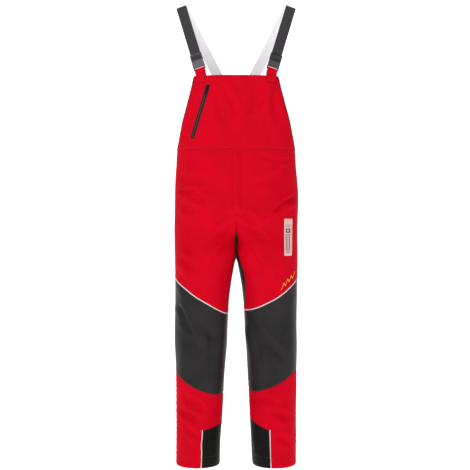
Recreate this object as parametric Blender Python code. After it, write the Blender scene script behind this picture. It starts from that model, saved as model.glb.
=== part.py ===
"""Bib ski pants: a bib and trousers of sewn panels, webbing braces with clip buckles, and four zips.

The pants hang from the braces. The origin is midway between the two places where the braces pass
over the wearer's shoulders, +Z is up, the front faces -Y and the wearer's left is +X. Heights in
this file (h) are measured up from the hems, and place() turns them into Z.
"""

import math

import bmesh
import bpy
from mathutils import Matrix, Vector

# ---- Driving dimensions, metres ----
HANG_HEIGHT = 1.5540  # the hems hang this far below the wearer's shoulders
WAIST_H = 1.050
BIB_TOP_H = 1.292
BACK_TOP_H = 1.225
CROTCH_H = 0.700
FORK_H = 0.830  # the front and back seams start to turn under here
KNEE_H = 0.440
HEM_H = 0.0

FABRIC = 0.0024  # the shell with its insulation, as one solid
SEAM_GAP = 0.0009
LEVEL_GAP = 0.0008
CREASE_GAP = 0.0016
PIPING_GAP = 0.0026  # from the middle of the piping to each of the panels beside it

# ---- The shape of the worn pants: (height, distance) stations ----
OUTER_X = ((0.00, 0.2030), (0.40, 0.2045), (0.62, 0.2075), (0.88, 0.2080), (1.05, 0.2000), (1.35, 0.2060))
FRONT_Y = ((0.00, -0.088), (0.44, -0.093), (0.70, -0.118), (0.86, -0.134), (1.05, -0.132), (1.35, -0.126))
BACK_Y = (
    (0.00, 0.079), (0.30, 0.088), (0.44, 0.088), (0.70, 0.124),
    (0.88, 0.150), (1.05, 0.122), (1.35, 0.128),
)
HEM_GAP_X = 0.055  # half the gap between the legs at the hems
GAP_SLOPE = 0.054
THIGH_MEET_H = 0.53  # the thighs close up from here to the crotch
BIB_EDGE_X = (
    (1.05, 0.2000), (1.095, 0.1890), (1.148, 0.1770),
    (1.20, 0.1620), (1.253, 0.1480), (1.30, 0.1370),
)
YOKE_EDGE_X = ((1.05, 0.2000), (1.12, 0.1500), (1.18, 0.0900), (1.25, 0.0560))
ROUND_LEG = 2.15  # exponents of the sections: 2 is an ellipse, more is squarer
ROUND_BODY = 2.3

# ---- Seams, as places round a leg: 0 inside, 0.25 front, 0.5 outside, 0.75 back, 1 inside again ----
INSEAM_FRONT = 0.028
OUTSEAM = 0.510
INSEAM_BACK = 0.970
KICK_FRONT = 0.225
KICK_BACK = 0.800
KICK_CORNER_H = 0.1240
GUSSET_WIDTH = 0.035
GUSSET_FOOT_H = 0.505

# ---- Joints ----
HIP_SLOPE = 0.90  # the hip crease rises this much for each metre outwards

# ---- Braces and buckles: (x, y, h) for the wearer's left ----
WEBBING = 0.035
WEBBING_THICK = 0.0016
TAB_WIDTH = 0.0342
TAB_THICK = 0.0012
TAB_LOOP = 0.0040
BAR_AT = (0.1190, -0.1000, 1.3150)  # the bar of the socket, which the tab goes round
STRAP_SLOPE = (0.0755, 0.115, 0.2543)
SHOULDER_AT = (0.1945, 0.0150, 1.5693)  # where the front and back runs would meet
SHOULDER_RADIUS = 0.012
BACK_END_X = 0.0230
BACK_BEND_H = 1.2480
BACK_END_H = 1.1900
STRAP_BEHIND = 0.0048  # the brace runs this far behind the middle of the buckle
BUCKLE_WIDTH = 0.0400
SOCKET_LENGTH = 0.0300
SOCKET_THICK = 0.0080
SOCKET_MOUTH = 0.0295  # from the bar to the open end
CAVITY_THICK = 0.0044
PRONG_THICK = 0.0036
PRONG_LENGTH = 0.0310
ARM_X = 0.0122

# ---- Zips ----
TAPE_WIDTH = 0.0120
TAPE_THICK = 0.0010
TAPE_OUTSET = 0.0010
COIL_HEIGHT = 0.0010
SLIDER_THICK = 0.0014
SLIDER_CLEAR = 0.0003
BRIDGE_HEIGHT = 0.0036
PULLER_THICK = 0.0010
CHEST_ZIP = ((-0.0905, 1.2600), (-0.1440, 1.0870))  # (x, h) of its two ends
SIDE_ZIP_T = 0.575
ZIP_TURN = 0.52  # half the way round the hips, metres
SIDE_ZIP = (1.040, 0.905)
FLY = (1.020, 0.860)
FLY_OUTSET = 0.0054

BLACK = (0.028, 0.027, 0.028, 1)
RED = (0.62, 0.004, 0.012, 1)
WHITE = (0.75, 0.74, 0.72, 1)
GREY = (0.10, 0.10, 0.105, 1)
YELLOW = (0.85, 0.30, 0.02, 1)
LINING_GREY = (0.55, 0.55, 0.56, 1)

LEFT, RIGHT = 1, -1
SIDES = (("left", LEFT), ("right", RIGHT))

# ---- Seams that differ between the legs: height inside, rise to the outside, and bend ----
KNEE_TOP = {LEFT: (0.5188, 0.1003, 1.60), RIGHT: (0.5060, 0.1131, 1.20)}
KNEE_BOTTOM = {LEFT: (0.2487, 0.0720, 1.72), RIGHT: (0.2387, 0.0710, 1.85)}
KICK_INNER_H = {LEFT: 0.1630, RIGHT: 0.1450}
GUSSET_END_H = {LEFT: 0.5210, RIGHT: 0.5070}


def clear_scene():
    for obj in list(bpy.data.objects):
        bpy.data.objects.remove(obj)


def collection(name):
    made = bpy.data.collections.new(name)
    bpy.context.scene.collection.children.link(made)
    return made


clear_scene()
PARTS = collection("bib_ski_pants")
CUTTERS = collection("cutters")


def material(name, colour, roughness=0.8, metallic=0.0):
    made = bpy.data.materials.new(name)
    made.use_nodes = True
    shader = made.node_tree.nodes["Principled BSDF"]
    shader.inputs["Base Color"].default_value = colour
    shader.inputs["Roughness"].default_value = roughness
    shader.inputs["Metallic"].default_value = metallic
    return made


RED_SHELL = material("red_shell", RED, 0.75)
BLACK_SHELL = material("black_shell", BLACK, 0.8)
BLACK_WEBBING = material("black_webbing", BLACK, 0.9)
WHITE_PIPING = material("white_piping", WHITE, 0.5)
GREY_LINING = material("grey_lining", LINING_GREY, 0.9)
BLACK_PLASTIC = material("black_plastic", GREY, 0.45)
ZIP_BLACK = material("zip_black", BLACK, 0.7)
ZIP_METAL = material("zip_metal", GREY, 0.35, 0.8)
LABEL_WHITE = material("label_white", WHITE, 0.6)
THREAD_YELLOW = material("thread_yellow", YELLOW, 0.6)


# ---- The body shape ----
def place(x, y, h):
    return Vector((x, y, h - HANG_HEIGHT))


def ease(s):
    s = min(1.0, max(0.0, s))
    return s * s * (3 - 2 * s)


def mix(a, b, s):
    return a + (b - a) * s


def station(stations, h):
    """A smooth value between the two stations that h lies between."""
    if h <= stations[0][0]:
        return stations[0][1]
    for (low, a), (high, b) in zip(stations, stations[1:]):
        if h <= high:
            return mix(a, b, ease((h - low) / (high - low)))
    return stations[-1][1]


def power(value, exponent):
    return math.copysign(abs(value) ** (2 / exponent), value)


def leg_gap(h):
    """Half the gap between the legs: 0 from the crotch up."""
    closing = max(0.0, (h - THIGH_MEET_H) / (CROTCH_H - THIGH_MEET_H))
    straight = HEM_GAP_X - GAP_SLOPE * h
    left_over = HEM_GAP_X - GAP_SLOPE * CROTCH_H
    return max(0.0006, straight - left_over * closing**1.6)


def body_point(t, h, side, inset=0.0):
    """A point of one half of the pants. Below the crotch t goes round the leg, and it is cyclic.
    Above FORK_H it goes from the centre front (0) round the outside (0.5) to the centre back (1)."""
    outer = station(OUTER_X, h) - inset
    front = station(FRONT_Y, h) + inset
    back = station(BACK_Y, h) - inset
    middle, depth = (front + back) / 2, (back - front) / 2
    inner = leg_gap(h) + inset
    around = 2 * math.pi * (t % 1.0 if h < CROTCH_H else t)
    centre, half = (outer + inner) / 2, (outer - inner) / 2
    leg = Vector((
        centre - half * power(math.cos(around), ROUND_LEG),
        middle - depth * power(math.sin(around), ROUND_LEG),
        0,
    ))
    body = Vector((
        mix(inner, outer, power(math.sin(math.pi * min(1.0, max(0.0, t))), ROUND_BODY)),
        middle - depth * power(math.cos(math.pi * t), ROUND_BODY),
        0,
    ))
    point = leg.lerp(body, ease((h - CROTCH_H) / (FORK_H - CROTCH_H)))
    return place(side * point.x, point.y, h)


def place_at_x(x, h, back=False):
    """The t of the point of the upper body that is x from the middle."""
    share = (abs(x) / station(OUTER_X, h)) ** (ROUND_BODY / 2)
    t = math.asin(min(1.0, share)) / math.pi
    return 1 - t if back else t


def hip_crease(t):
    """The height at which the hip crease crosses place t."""
    h = CROTCH_H
    for _ in range(12):
        h = CROTCH_H + HIP_SLOPE * abs(body_point(t, h, LEFT).x)
    return h


def knee_top(t, side):
    """The piped seam over the knee panel: high outside, low inside, and not the same on both legs."""
    low, rise, bend = KNEE_TOP[side]
    return low + rise * (0.5 - 0.5 * math.cos(2 * math.pi * t)) ** bend


def knee_bottom(t, side):
    low, rise, bend = KNEE_BOTTOM[side]
    return low + rise * (0.5 - 0.5 * math.cos(2 * math.pi * t)) ** bend


def gusset_edge(h):
    """How far round the leg the inner thigh gusset reaches, from the inseam."""
    return INSEAM_FRONT * 0.4 + GUSSET_WIDTH * ease((h - GUSSET_FOOT_H) / (CROTCH_H - GUSSET_FOOT_H))


# ---- Makers of solids ----
def add_object(name, mesh, mat, into=None):
    obj = bpy.data.objects.new(name, mesh)
    (into or PARTS).objects.link(obj)
    if mat:
        obj.data.materials.append(mat)
    return obj


def sheet(name, point, columns, rows, mat, thickness=FABRIC, flip=False, outer=0.0):
    """A thick sheet over point(u, v, inset), u and v from 0 to 1, between two insets."""
    bm = bmesh.new()
    layers = []
    for inset in (outer, outer + thickness):
        layers.append([
            [bm.verts.new(point(i / columns, j / rows, inset)) for i in range(columns + 1)]
            for j in range(rows + 1)
        ])
    top, under = layers
    for j in range(rows):
        for i in range(columns):
            corners = ((j, i), (j, i + 1), (j + 1, i + 1), (j + 1, i))
            bm.faces.new([top[r][c] for r, c in corners])
            bm.faces.new([under[r][c] for r, c in reversed(corners)])
    rim = [(0, i) for i in range(columns)] + [(j, columns) for j in range(rows)]
    rim += [(rows, i) for i in range(columns, 0, -1)] + [(j, 0) for j in range(rows, 0, -1)]
    for (r0, c0), (r1, c1) in zip(rim, rim[1:] + rim[:1]):
        bm.faces.new((top[r0][c0], under[r0][c0], under[r1][c1], top[r1][c1]))
    if flip:
        bmesh.ops.reverse_faces(bm, faces=bm.faces)
    mesh = bpy.data.meshes.new(name)
    bm.to_mesh(mesh)
    bm.free()
    return add_object(name, mesh, mat)


def rounded_rectangle(width, height, radius, centre=(0.0, 0.0), steps=3):
    points = []
    for corner in range(4):
        sx, sy = ((1, 1), (-1, 1), (-1, -1), (1, -1))[corner]
        for k in range(steps + 1):
            a = math.pi / 2 * (corner + k / steps)
            points.append((
                centre[0] + sx * (width / 2 - radius) + radius * math.cos(a),
                centre[1] + sy * (height / 2 - radius) + radius * math.sin(a),
            ))
    return points


def outline(name, loops, thickness, mat=None, matrix=None, into=None):
    """A flat shape in its own XY plane, its later loops being holes, as a mesh centred on that plane."""
    curve = bpy.data.curves.new(name + "_outline", "CURVE")
    curve.dimensions = "2D"
    curve.fill_mode = "BOTH"
    curve.extrude = thickness / 2
    for loop in loops:
        spline = curve.splines.new("POLY")
        spline.points.add(len(loop) - 1)
        for point, (x, y) in zip(spline.points, loop):
            point.co = (x, y, 0, 1)
        spline.use_cyclic_u = True
    helper = add_object(name + "_curve", curve, None, CUTTERS)
    bpy.context.view_layer.update()
    mesh = bpy.data.meshes.new_from_object(helper.evaluated_get(bpy.context.evaluated_depsgraph_get()))
    bpy.data.objects.remove(helper)
    bm = bmesh.new()
    bm.from_mesh(mesh)
    bmesh.ops.remove_doubles(bm, verts=bm.verts, dist=1e-6)
    bmesh.ops.recalc_face_normals(bm, faces=bm.faces)
    bm.to_mesh(mesh)
    bm.free()
    mesh.name = name
    obj = add_object(name, mesh, mat, into)
    obj.matrix_world = matrix or Matrix.Identity(4)
    return obj


def box(name, size, centre, mat=None, matrix=None, into=None):
    bm = bmesh.new()
    bmesh.ops.create_cube(bm, size=1.0)
    for vert in bm.verts:
        vert.co = Vector(centre) + Vector([c * s for c, s in zip(vert.co, size)])
    mesh = bpy.data.meshes.new(name)
    bm.to_mesh(mesh)
    bm.free()
    obj = add_object(name, mesh, mat, into)
    obj.matrix_world = matrix or Matrix.Identity(4)
    return obj


def combine(target, other, operation):
    """Joins other to target, or cuts it from target, and keeps other as a hidden cutter."""
    other.hide_render = True
    other.display_type = "WIRE"
    step = target.modifiers.new(other.name, "BOOLEAN")
    step.object = other
    step.operation = operation
    return target


def frame(origin, up, outward):
    """A matrix whose Y axis is up and whose Z axis is as near outward as it can be."""
    y = Vector(up).normalized()
    z = (Vector(outward) - y * Vector(outward).dot(y)).normalized()
    x = y.cross(z)
    made = Matrix((x, y, z)).transposed().to_4x4()
    made.translation = Vector(origin)
    return made


# ---- The sewn panels ----
def side_panel(name, side, edge, level, columns, rows, mat, **more):
    """A panel of one leg or hip: edge(v) gives its two places round, level(t) its two heights."""

    def point(u, v, inset):
        start, end = edge(v)
        t = mix(start, end, u)
        low, high = level(t)
        return body_point(t, mix(low, high, v), side, inset)

    return sheet(name, point, columns, rows, mat, flip=side < 0, **more)


def seam(t, away):
    """Place t moved away from its seam by the seam gap, in shares of a turn."""
    return t + away * SEAM_GAP / 0.5


def hip_panels(word, side):
    side_panel(
        f"front_hip_panel_{word}", side,
        lambda v: (0.0, seam(0.5, -1)),
        lambda t: (hip_crease(t) + CREASE_GAP, WAIST_H - LEVEL_GAP),
        12, 9, RED_SHELL,
    )
    side_panel(
        f"seat_panel_{word}", side,
        lambda v: (seam(0.5, 1), 1.0),
        lambda t: (hip_crease(t) + CREASE_GAP, WAIST_H - 0.040 - LEVEL_GAP),
        8, 7, RED_SHELL,
    )


def thigh_panels(word, side):
    gusset_end = GUSSET_END_H[side]

    def crease(t):
        return hip_crease(t) - CREASE_GAP

    def inner_height(v):
        return mix(gusset_end, CROTCH_H, v)

    side_panel(
        f"front_thigh_panel_{word}", side,
        lambda v: (seam(gusset_edge(inner_height(v)), 1), seam(OUTSEAM, -1)),
        lambda t: (knee_top(t, side) + PIPING_GAP, crease(t)),
        10, 5, RED_SHELL,
    )
    side_panel(
        f"back_thigh_panel_{word}", side,
        lambda v: (seam(OUTSEAM, 1), seam(1 - gusset_edge(mix(KNEE_H, CROTCH_H, v)), -1)),
        lambda t: (KNEE_H + LEVEL_GAP, crease(t)),
        9, 6, RED_SHELL,
    )
    side_panel(
        f"inner_thigh_gusset_{word}", side,
        lambda v: (-gusset_edge(inner_height(v)), gusset_edge(inner_height(v))),
        lambda t: (gusset_end + LEVEL_GAP, CROTCH_H - LEVEL_GAP),
        4, 4, BLACK_SHELL,
    )
    side_panel(
        f"knee_panel_upper_{word}", side,
        lambda v: (seam(INSEAM_FRONT * 0.4, 1), seam(OUTSEAM, -1)),
        lambda t: (KNEE_H + LEVEL_GAP, knee_top(t, side) - PIPING_GAP),
        10, 3, BLACK_SHELL,
    )


def shin_panels(word, side):
    kick_high = KICK_INNER_H[side] + 0.002

    def kick_top(t):
        inward = 1 - min(1.0, abs(((t + 0.5) % 1) - 0.5) / KICK_FRONT)
        return mix(KICK_CORNER_H, KICK_INNER_H[side], inward)

    side_panel(
        f"knee_panel_lower_{word}", side,
        lambda v: (seam(INSEAM_FRONT, 1), seam(OUTSEAM, -1)),
        lambda t: (knee_bottom(t, side) + LEVEL_GAP, KNEE_H - LEVEL_GAP),
        10, 3, BLACK_SHELL,
    )

    def shin_point(u, v, inset):
        rows = (
            (HEM_H, KICK_FRONT), (KICK_CORNER_H, KICK_FRONT),
            (kick_high, INSEAM_FRONT), (0.2, INSEAM_FRONT),
        )
        band, share = min(3, int(v * 4)), v * 4 - min(3, int(v * 4))
        if band == 3:
            low, high = 0.2, None
            t = mix(seam(INSEAM_FRONT, 1), seam(OUTSEAM, -1), u)
            return body_point(t, mix(low, knee_bottom(t, side) - LEVEL_GAP, share), side, inset)
        (h0, t0), (h1, t1) = rows[band], rows[band + 1]
        t = mix(seam(mix(t0, t1, share), 1), seam(OUTSEAM, -1), u)
        return body_point(t, mix(h0, h1, share) + (LEVEL_GAP if t1 != t0 or h0 > 0.1 else 0), side, inset)

    sheet(f"shin_panel_{word}", shin_point, 8, 4, RED_SHELL, flip=side < 0)

    def calf_point(u, v, inset):
        corner = kick_top(KICK_BACK)
        rows = ((HEM_H, KICK_BACK), (corner, KICK_BACK), (kick_high, INSEAM_BACK + 0.03))
        band = min(3, int(v * 4))
        share = v * 4 - band
        if band >= 2:
            t = mix(seam(OUTSEAM, 1), seam(INSEAM_BACK + 0.03, 1), u)
            low = kick_high + LEVEL_GAP
            return body_point(t, mix(low, KNEE_H - LEVEL_GAP, (v - 0.5) * 2), side, inset)
        (h0, t0), (h1, t1) = rows[band], rows[band + 1]
        t = mix(seam(OUTSEAM, 1), seam(mix(t0, t1, share), -1), u)
        return body_point(t, mix(h0, h1, share) + (LEVEL_GAP if t1 != t0 or h0 > 0.1 else 0), side, inset)

    sheet(f"calf_panel_{word}", calf_point, 8, 8, RED_SHELL, flip=side < 0)
    side_panel(
        f"kick_patch_{word}", side,
        lambda v: (seam(KICK_BACK - 1, 1), seam(KICK_FRONT, -1) - 0.004),
        lambda t: (HEM_H, kick_top(t) - 2 * LEVEL_GAP),
        8, 2, BLACK_SHELL,
    )


for word, side in SIDES:
    hip_panels(word, side)
    thigh_panels(word, side)
    shin_panels(word, side)


# ---- Panels that cross the middle ----
def across(point_x, h, inset, back=False):
    """The point of the upper body at signed distance point_x from the middle."""
    side = LEFT if point_x >= 0 else RIGHT
    return body_point(place_at_x(point_x, h, back), h, side, inset)


def middle_panel(name, edge_x, low, high, columns, rows, mat, back=False, **more):
    def point(u, v, inset):
        h = mix(low, high, v)
        return across((2 * u - 1) * edge_x(h), h, inset, back)

    return sheet(name, point, columns, rows, mat, flip=back, **more)


def polyline(stations, value):
    """The straight-line value of the stations at a place between them."""
    for (low, a), (high, b) in zip(stations, stations[1:]):
        if value <= high:
            return mix(a, b, (value - low) / (high - low))
    return stations[-1][1]


middle_panel(
    "bib_front_panel", lambda h: polyline(BIB_EDGE_X, h) - SEAM_GAP,
    WAIST_H + LEVEL_GAP, BIB_TOP_H, 16, 8, RED_SHELL,
)
middle_panel(
    "back_yoke", lambda h: polyline(YOKE_EDGE_X, h) - SEAM_GAP,
    WAIST_H + LEVEL_GAP, BACK_TOP_H, 16, 6, RED_SHELL, back=True,
)
middle_panel(
    "waist_elastic", lambda h: 0.9995 * station(OUTER_X, h),
    WAIST_H - 0.040 + LEVEL_GAP, WAIST_H - LEVEL_GAP, 18, 1, BLACK_SHELL, back=True,
)


def pocket_point(u, v, inset):
    h = mix(1.0750, 1.2660, v)
    return across(mix(-0.030, -polyline(BIB_EDGE_X, h) + 0.006, u), h, inset)


sheet(
    "chest_pocket_bag", pocket_point, 6, 5, GREY_LINING,
    thickness=0.0010, flip=True, outer=FABRIC + 0.0030,
)


# ---- Piping ----
def tube(name, path, radius, steps, mat, sides=6):
    """A round cord along path(v), v from 0 to 1."""
    bm = bmesh.new()
    rings = []
    for k in range(steps + 1):
        here, ahead, behind = path(k / steps), path(min(1, (k + 1) / steps)), path(max(0, (k - 1) / steps))
        along = (ahead - behind).normalized()
        first = along.orthogonal() if not rings else (first - along * first.dot(along))
        first.normalize()
        second = along.cross(first)
        turns = [2 * math.pi * j / sides for j in range(sides)]
        rings.append([
            bm.verts.new(here + radius * (math.cos(a) * first + math.sin(a) * second)) for a in turns
        ])
    for ring, after in zip(rings, rings[1:]):
        for j in range(sides):
            k = (j + 1) % sides
            bm.faces.new((ring[j], ring[k], after[k], after[j]))
    bm.faces.new(list(reversed(rings[0])))
    bm.faces.new(rings[-1])
    mesh = bpy.data.meshes.new(name)
    bm.to_mesh(mesh)
    bm.free()
    return add_object(name, mesh, mat)


def leg_trims(word, side):
    def knee_path(v):
        t = mix(INSEAM_FRONT * 0.4 + 0.006, OUTSEAM - 0.006, v)
        return body_point(t, knee_top(t, side), side, 0.0006)

    def ankle_path(v):
        h = mix(HEM_H + 0.001, KICK_CORNER_H - 0.003, v)
        return body_point(KICK_FRONT - 0.0022, h, side, 0.0004)

    tube(f"knee_piping_{word}", knee_path, 0.0014, 16, WHITE_PIPING)
    tube(f"ankle_piping_{word}", ankle_path, 0.0011, 3, WHITE_PIPING)


for word, side in SIDES:
    leg_trims(word, side)


def label_point(u, v, inset):
    h = mix(0.7020, 0.8240, v)
    x = mix(0.1580, 0.1832, u) + 0.002 * v
    low, high = 0.25, 0.5
    for _ in range(30):
        t = (low + high) / 2
        if body_point(t, h, LEFT).x < x:
            low = t
        else:
            high = t
    return body_point(t, h, LEFT, inset)


sheet("thigh_label", label_point, 4, 6, LABEL_WHITE, thickness=0.0006, outer=-0.0010)


def embroidery_point(u, v, inset):
    t = mix(0.318, 0.424, u)
    return body_point(t, knee_top(t, LEFT) + mix(0.013, 0.031, v), LEFT, inset)


sheet("thigh_embroidery", embroidery_point, 8, 1, THREAD_YELLOW, thickness=0.0006, outer=-0.0010)


# ---- Braces ----
def side_vector(values, side):
    return Vector((side * values[0], values[1], values[2]))


def ribbon(name, stops, width, thickness, mat, flip=False):
    """A flat band through stops of (point, width direction, outward direction)."""

    def point(u, v, inset):
        here, across_way, outward = stops[round(v * (len(stops) - 1))]
        return here + across_way.normalized() * width * (u - 0.5) - outward.normalized() * inset

    return sheet(name, point, 2, len(stops) - 1, mat, thickness=thickness, flip=flip, outer=-thickness / 2)


def strap_geometry(side):
    """The directions of the front and back runs, and the buckle's frame at its bar."""
    front = side_vector(STRAP_SLOPE, side).normalized()
    bar = place(side * BAR_AT[0], BAR_AT[1], BAR_AT[2])
    outward = Vector((side * 0.10, -1.0, 0.0))
    return front, frame(bar, front, outward)


def brace_stops(side):
    front, buckle = strap_geometry(side)
    right_way = buckle.to_3x3() @ Vector((1, 0, 0))
    outward = buckle.to_3x3() @ Vector((0, 0, 1))
    corner = place(side * SHOULDER_AT[0], SHOULDER_AT[1], SHOULDER_AT[2]) - outward * STRAP_BEHIND
    yoke_y = across(BACK_END_X, BACK_BEND_H, -0.0014, back=True).y
    bend = place(side * BACK_END_X, yoke_y, BACK_BEND_H)
    end_y = across(BACK_END_X, BACK_END_H, -0.0014, back=True).y
    end = place(side * BACK_END_X, end_y, BACK_END_H)
    back = (bend - corner).normalized()
    turn = front.angle(back)
    tangent = SHOULDER_RADIUS * math.tan(turn / 2)
    inward = (back - front * back.dot(front)).normalized()
    centre = corner - front * tangent + inward * SHOULDER_RADIUS
    start = buckle @ Vector((0, SOCKET_MOUTH + 0.006, -STRAP_BEHIND))
    arc_start = corner - front * tangent
    stops = [(start.lerp(arc_start, k / 6), right_way, outward) for k in range(6)]
    for k in range(9):
        a = turn * k / 8
        here = centre - inward * SHOULDER_RADIUS * math.cos(a) + front * SHOULDER_RADIUS * math.sin(a)
        away = (here - centre).normalized()
        stops.append((here, right_way, away))
    arc_end = stops[-1][0]
    flat = Vector((1, 0, 0))
    for k in range(1, 7):
        way = right_way.lerp(flat, k / 6) if k == 6 else (right_way - back * right_way.dot(back))
        away = way.cross(back).normalized()
        away = away if away.y > 0 else -away
        stops.append((arc_end.lerp(bend, k / 6), way, away))
    for k in (1, 2):
        stops.append((bend.lerp(end, k / 2), flat, Vector((0, 1, 0))))
    return stops


def tab_stops(side):
    """Up the front of the bib, round the socket's bar and down behind the bib."""
    front, buckle = strap_geometry(side)
    spin = buckle.to_3x3()
    flat = Vector((1, 0, 0))
    stops = []
    for h in (BIB_TOP_H - 0.022, BIB_TOP_H - 0.010, BIB_TOP_H + 0.002):
        x = side * (BAR_AT[0] - 0.004)
        base = across(x, min(h, BIB_TOP_H), -0.0022)
        slope = across(x + 0.01, min(h, BIB_TOP_H), 0) - across(x - 0.01, min(h, BIB_TOP_H), 0)
        stops.append((Vector((base.x, base.y, h - HANG_HEIGHT)), slope, Vector((slope.y, -slope.x, 0))))
    for k in range(7):
        a = math.pi * k / 6
        local = Vector((0, TAB_LOOP * math.sin(a), TAB_LOOP * math.cos(a)))
        away = spin @ Vector((0, math.sin(a), math.cos(a)))
        stops.append((buckle @ local, spin @ flat, away))
    for h in (BIB_TOP_H + 0.002, BIB_TOP_H - 0.010, BIB_TOP_H - 0.022):
        x = side * (BAR_AT[0] - 0.004)
        base = across(x, min(h, BIB_TOP_H), FABRIC + 0.0030)
        slope = across(x + 0.01, min(h, BIB_TOP_H), 0) - across(x - 0.01, min(h, BIB_TOP_H), 0)
        stops.append((Vector((base.x, base.y, h - HANG_HEIGHT)), slope, Vector((-slope.y, slope.x, 0))))
    return stops


def socket(name, buckle):
    """The socket of a side-release buckle: Y is up the brace from the bar, Z faces out."""
    middle = SOCKET_MOUTH - SOCKET_LENGTH / 2 - 0.0010
    body = outline(
        name,
        (
            rounded_rectangle(BUCKLE_WIDTH, SOCKET_LENGTH + 0.002, 0.004, (0, middle)),
            rounded_rectangle(TAB_WIDTH + 0.0016, 0.0046, 0.0010, (0, 0.0046)),
        ),
        SOCKET_THICK, BLACK_PLASTIC, buckle,
    )
    cavity = box(
        name + "_mouth", (0.0330, 0.0214, CAVITY_THICK), (0, SOCKET_MOUTH - 0.0090, 0),
        matrix=buckle, into=CUTTERS,
    )
    windows = box(
        name + "_windows", (BUCKLE_WIDTH + 0.01, 0.0090, CAVITY_THICK), (0, SOCKET_MOUTH - 0.0140, 0),
        matrix=buckle, into=CUTTERS,
    )
    combine(body, cavity, "DIFFERENCE")
    combine(body, windows, "DIFFERENCE")
    thin = box(
        name + "_bar_front", (TAB_WIDTH + 0.0016, 0.0090, 0.004),
        (0, 0.0004, SOCKET_THICK / 2), matrix=buckle, into=CUTTERS,
    )
    thin_back = box(
        name + "_bar_back", (TAB_WIDTH + 0.0016, 0.0090, 0.004),
        (0, 0.0004, -SOCKET_THICK / 2), matrix=buckle, into=CUTTERS,
    )
    combine(body, thin, "DIFFERENCE")
    combine(body, thin_back, "DIFFERENCE")
    return body


def prong(name, buckle):
    """The part the brace goes through: a framed plate with a guide between its two arms."""
    low = SOCKET_MOUTH + 0.0006
    body = outline(
        name,
        (
            rounded_rectangle(BUCKLE_WIDTH, PRONG_LENGTH, 0.004, (0, low + PRONG_LENGTH / 2)),
            rounded_rectangle(WEBBING + 0.0004, 0.0060, 0.0010, (0, low + 0.0105)),
            rounded_rectangle(WEBBING + 0.0004, 0.0060, 0.0010, (0, low + 0.0225)),
        ),
        PRONG_THICK, BLACK_PLASTIC, buckle,
    )
    guide = box(
        name + "_guide", (0.0080, 0.0180, 0.0030), (0, low - 0.0070, 0), matrix=buckle, into=CUTTERS,
    )
    return combine(body, guide, "UNION")


def arm(name, buckle, way):
    """One springy arm of the prong, with its catch in the socket's side window."""
    root = SOCKET_MOUTH + 0.0002
    shape = (
        (ARM_X - 0.0018, root), (ARM_X - 0.0014, root - 0.0150), (ARM_X + 0.0010, root - 0.0185),
        (ARM_X + 0.0036, root - 0.0172), (ARM_X + 0.0040, root - 0.0105), (ARM_X + 0.0018, root - 0.0100),
        (ARM_X + 0.0018, root),
    )
    loop = [(way * x, y) for x, y in shape]
    origin = buckle @ Matrix.Translation((way * ARM_X, root, 0))
    moved = [(x - way * ARM_X, y - root) for x, y in loop]
    return outline(name, (moved,), 0.0030, BLACK_PLASTIC, origin)


for word, side in SIDES:
    front_run, buckle_frame = strap_geometry(side)
    ribbon(f"shoulder_brace_{word}", brace_stops(side), WEBBING, WEBBING_THICK, BLACK_WEBBING)
    ribbon(f"strap_tab_{word}", tab_stops(side), TAB_WIDTH, TAB_THICK, RED_SHELL)
    socket(f"buckle_socket_{word}", buckle_frame)
    prong(f"buckle_prong_{word}", buckle_frame)
    for arm_word, way in (("inner", -side), ("outer", side)):
        arm(f"buckle_arm_{arm_word}_{word}", buckle_frame, way)


def patch_point(u, v, inset):
    h = mix(1.1800, 1.2420, v)
    return Vector((mix(0.0440, -0.0440, u), across(0.0, h, inset, back=True).y, h - HANG_HEIGHT))


sheet("brace_patch", patch_point, 4, 3, BLACK_SHELL, thickness=0.0010, outer=-0.0040)


# ---- Zips ----
def zip_frame(path, v):
    """X across the zip, Y towards its closed end, Z out of the cloth."""
    toward = path(v - 0.02, 0.0) - path(v + 0.02, 0.0)
    sideways = path(v, 0.004) - path(v, -0.004)
    return frame(path(v, 0.0), toward, sideways.cross(toward))


def zip_tape(name, path, length_steps, mat=ZIP_BLACK, outset=TAPE_OUTSET):
    def point(u, v, inset):
        outwards = zip_frame(path, v).to_3x3() @ Vector((0, 0, 1))
        lift = outset
        if inset < 0.5 * TAPE_THICK:
            lift += TAPE_THICK + (COIL_HEIGHT if abs(u - 0.5) < 0.2 else 0.0)
        return path(v, (u - 0.5) * TAPE_WIDTH) + outwards * lift

    return sheet(name, point, 6, length_steps, mat, thickness=TAPE_THICK, flip=True)


def zip_slider(name, path, v, bridge=True, outset=TAPE_OUTSET):
    at = zip_frame(path, v)
    lift = outset + TAPE_THICK + COIL_HEIGHT + SLIDER_CLEAR
    body = outline(
        name, (rounded_rectangle(0.0082, 0.0110, 0.0024),), SLIDER_THICK, ZIP_METAL,
        at @ Matrix.Translation((0, 0, lift + SLIDER_THICK / 2)),
    )
    if bridge:
        top = lift + SLIDER_THICK
        loop = box(
            name + "_bridge", (0.0020, 0.0076, BRIDGE_HEIGHT + 0.0004),
            (0, 0, top + BRIDGE_HEIGHT / 2 - 0.0002), matrix=at, into=CUTTERS,
        )
        gap = box(
            name + "_bridge_gap", (0.0040, 0.0050, 0.0021), (0, 0, top + 0.00145), matrix=at, into=CUTTERS,
        )
        combine(body, loop, "UNION")
        combine(body, gap, "DIFFERENCE")
    return at, lift


def zip_puller(name, at, lift, length):
    hinge = at @ Matrix.Translation((0, 0, lift + SLIDER_THICK + 0.00145))
    return outline(
        name,
        (
            rounded_rectangle(0.0064, length, 0.0020, (0, 0.0006 - length / 2)),
            rounded_rectangle(0.0036, 0.0044, 0.0008, (0, -0.0028)),
        ),
        PULLER_THICK, ZIP_METAL, hinge,
    )


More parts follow.
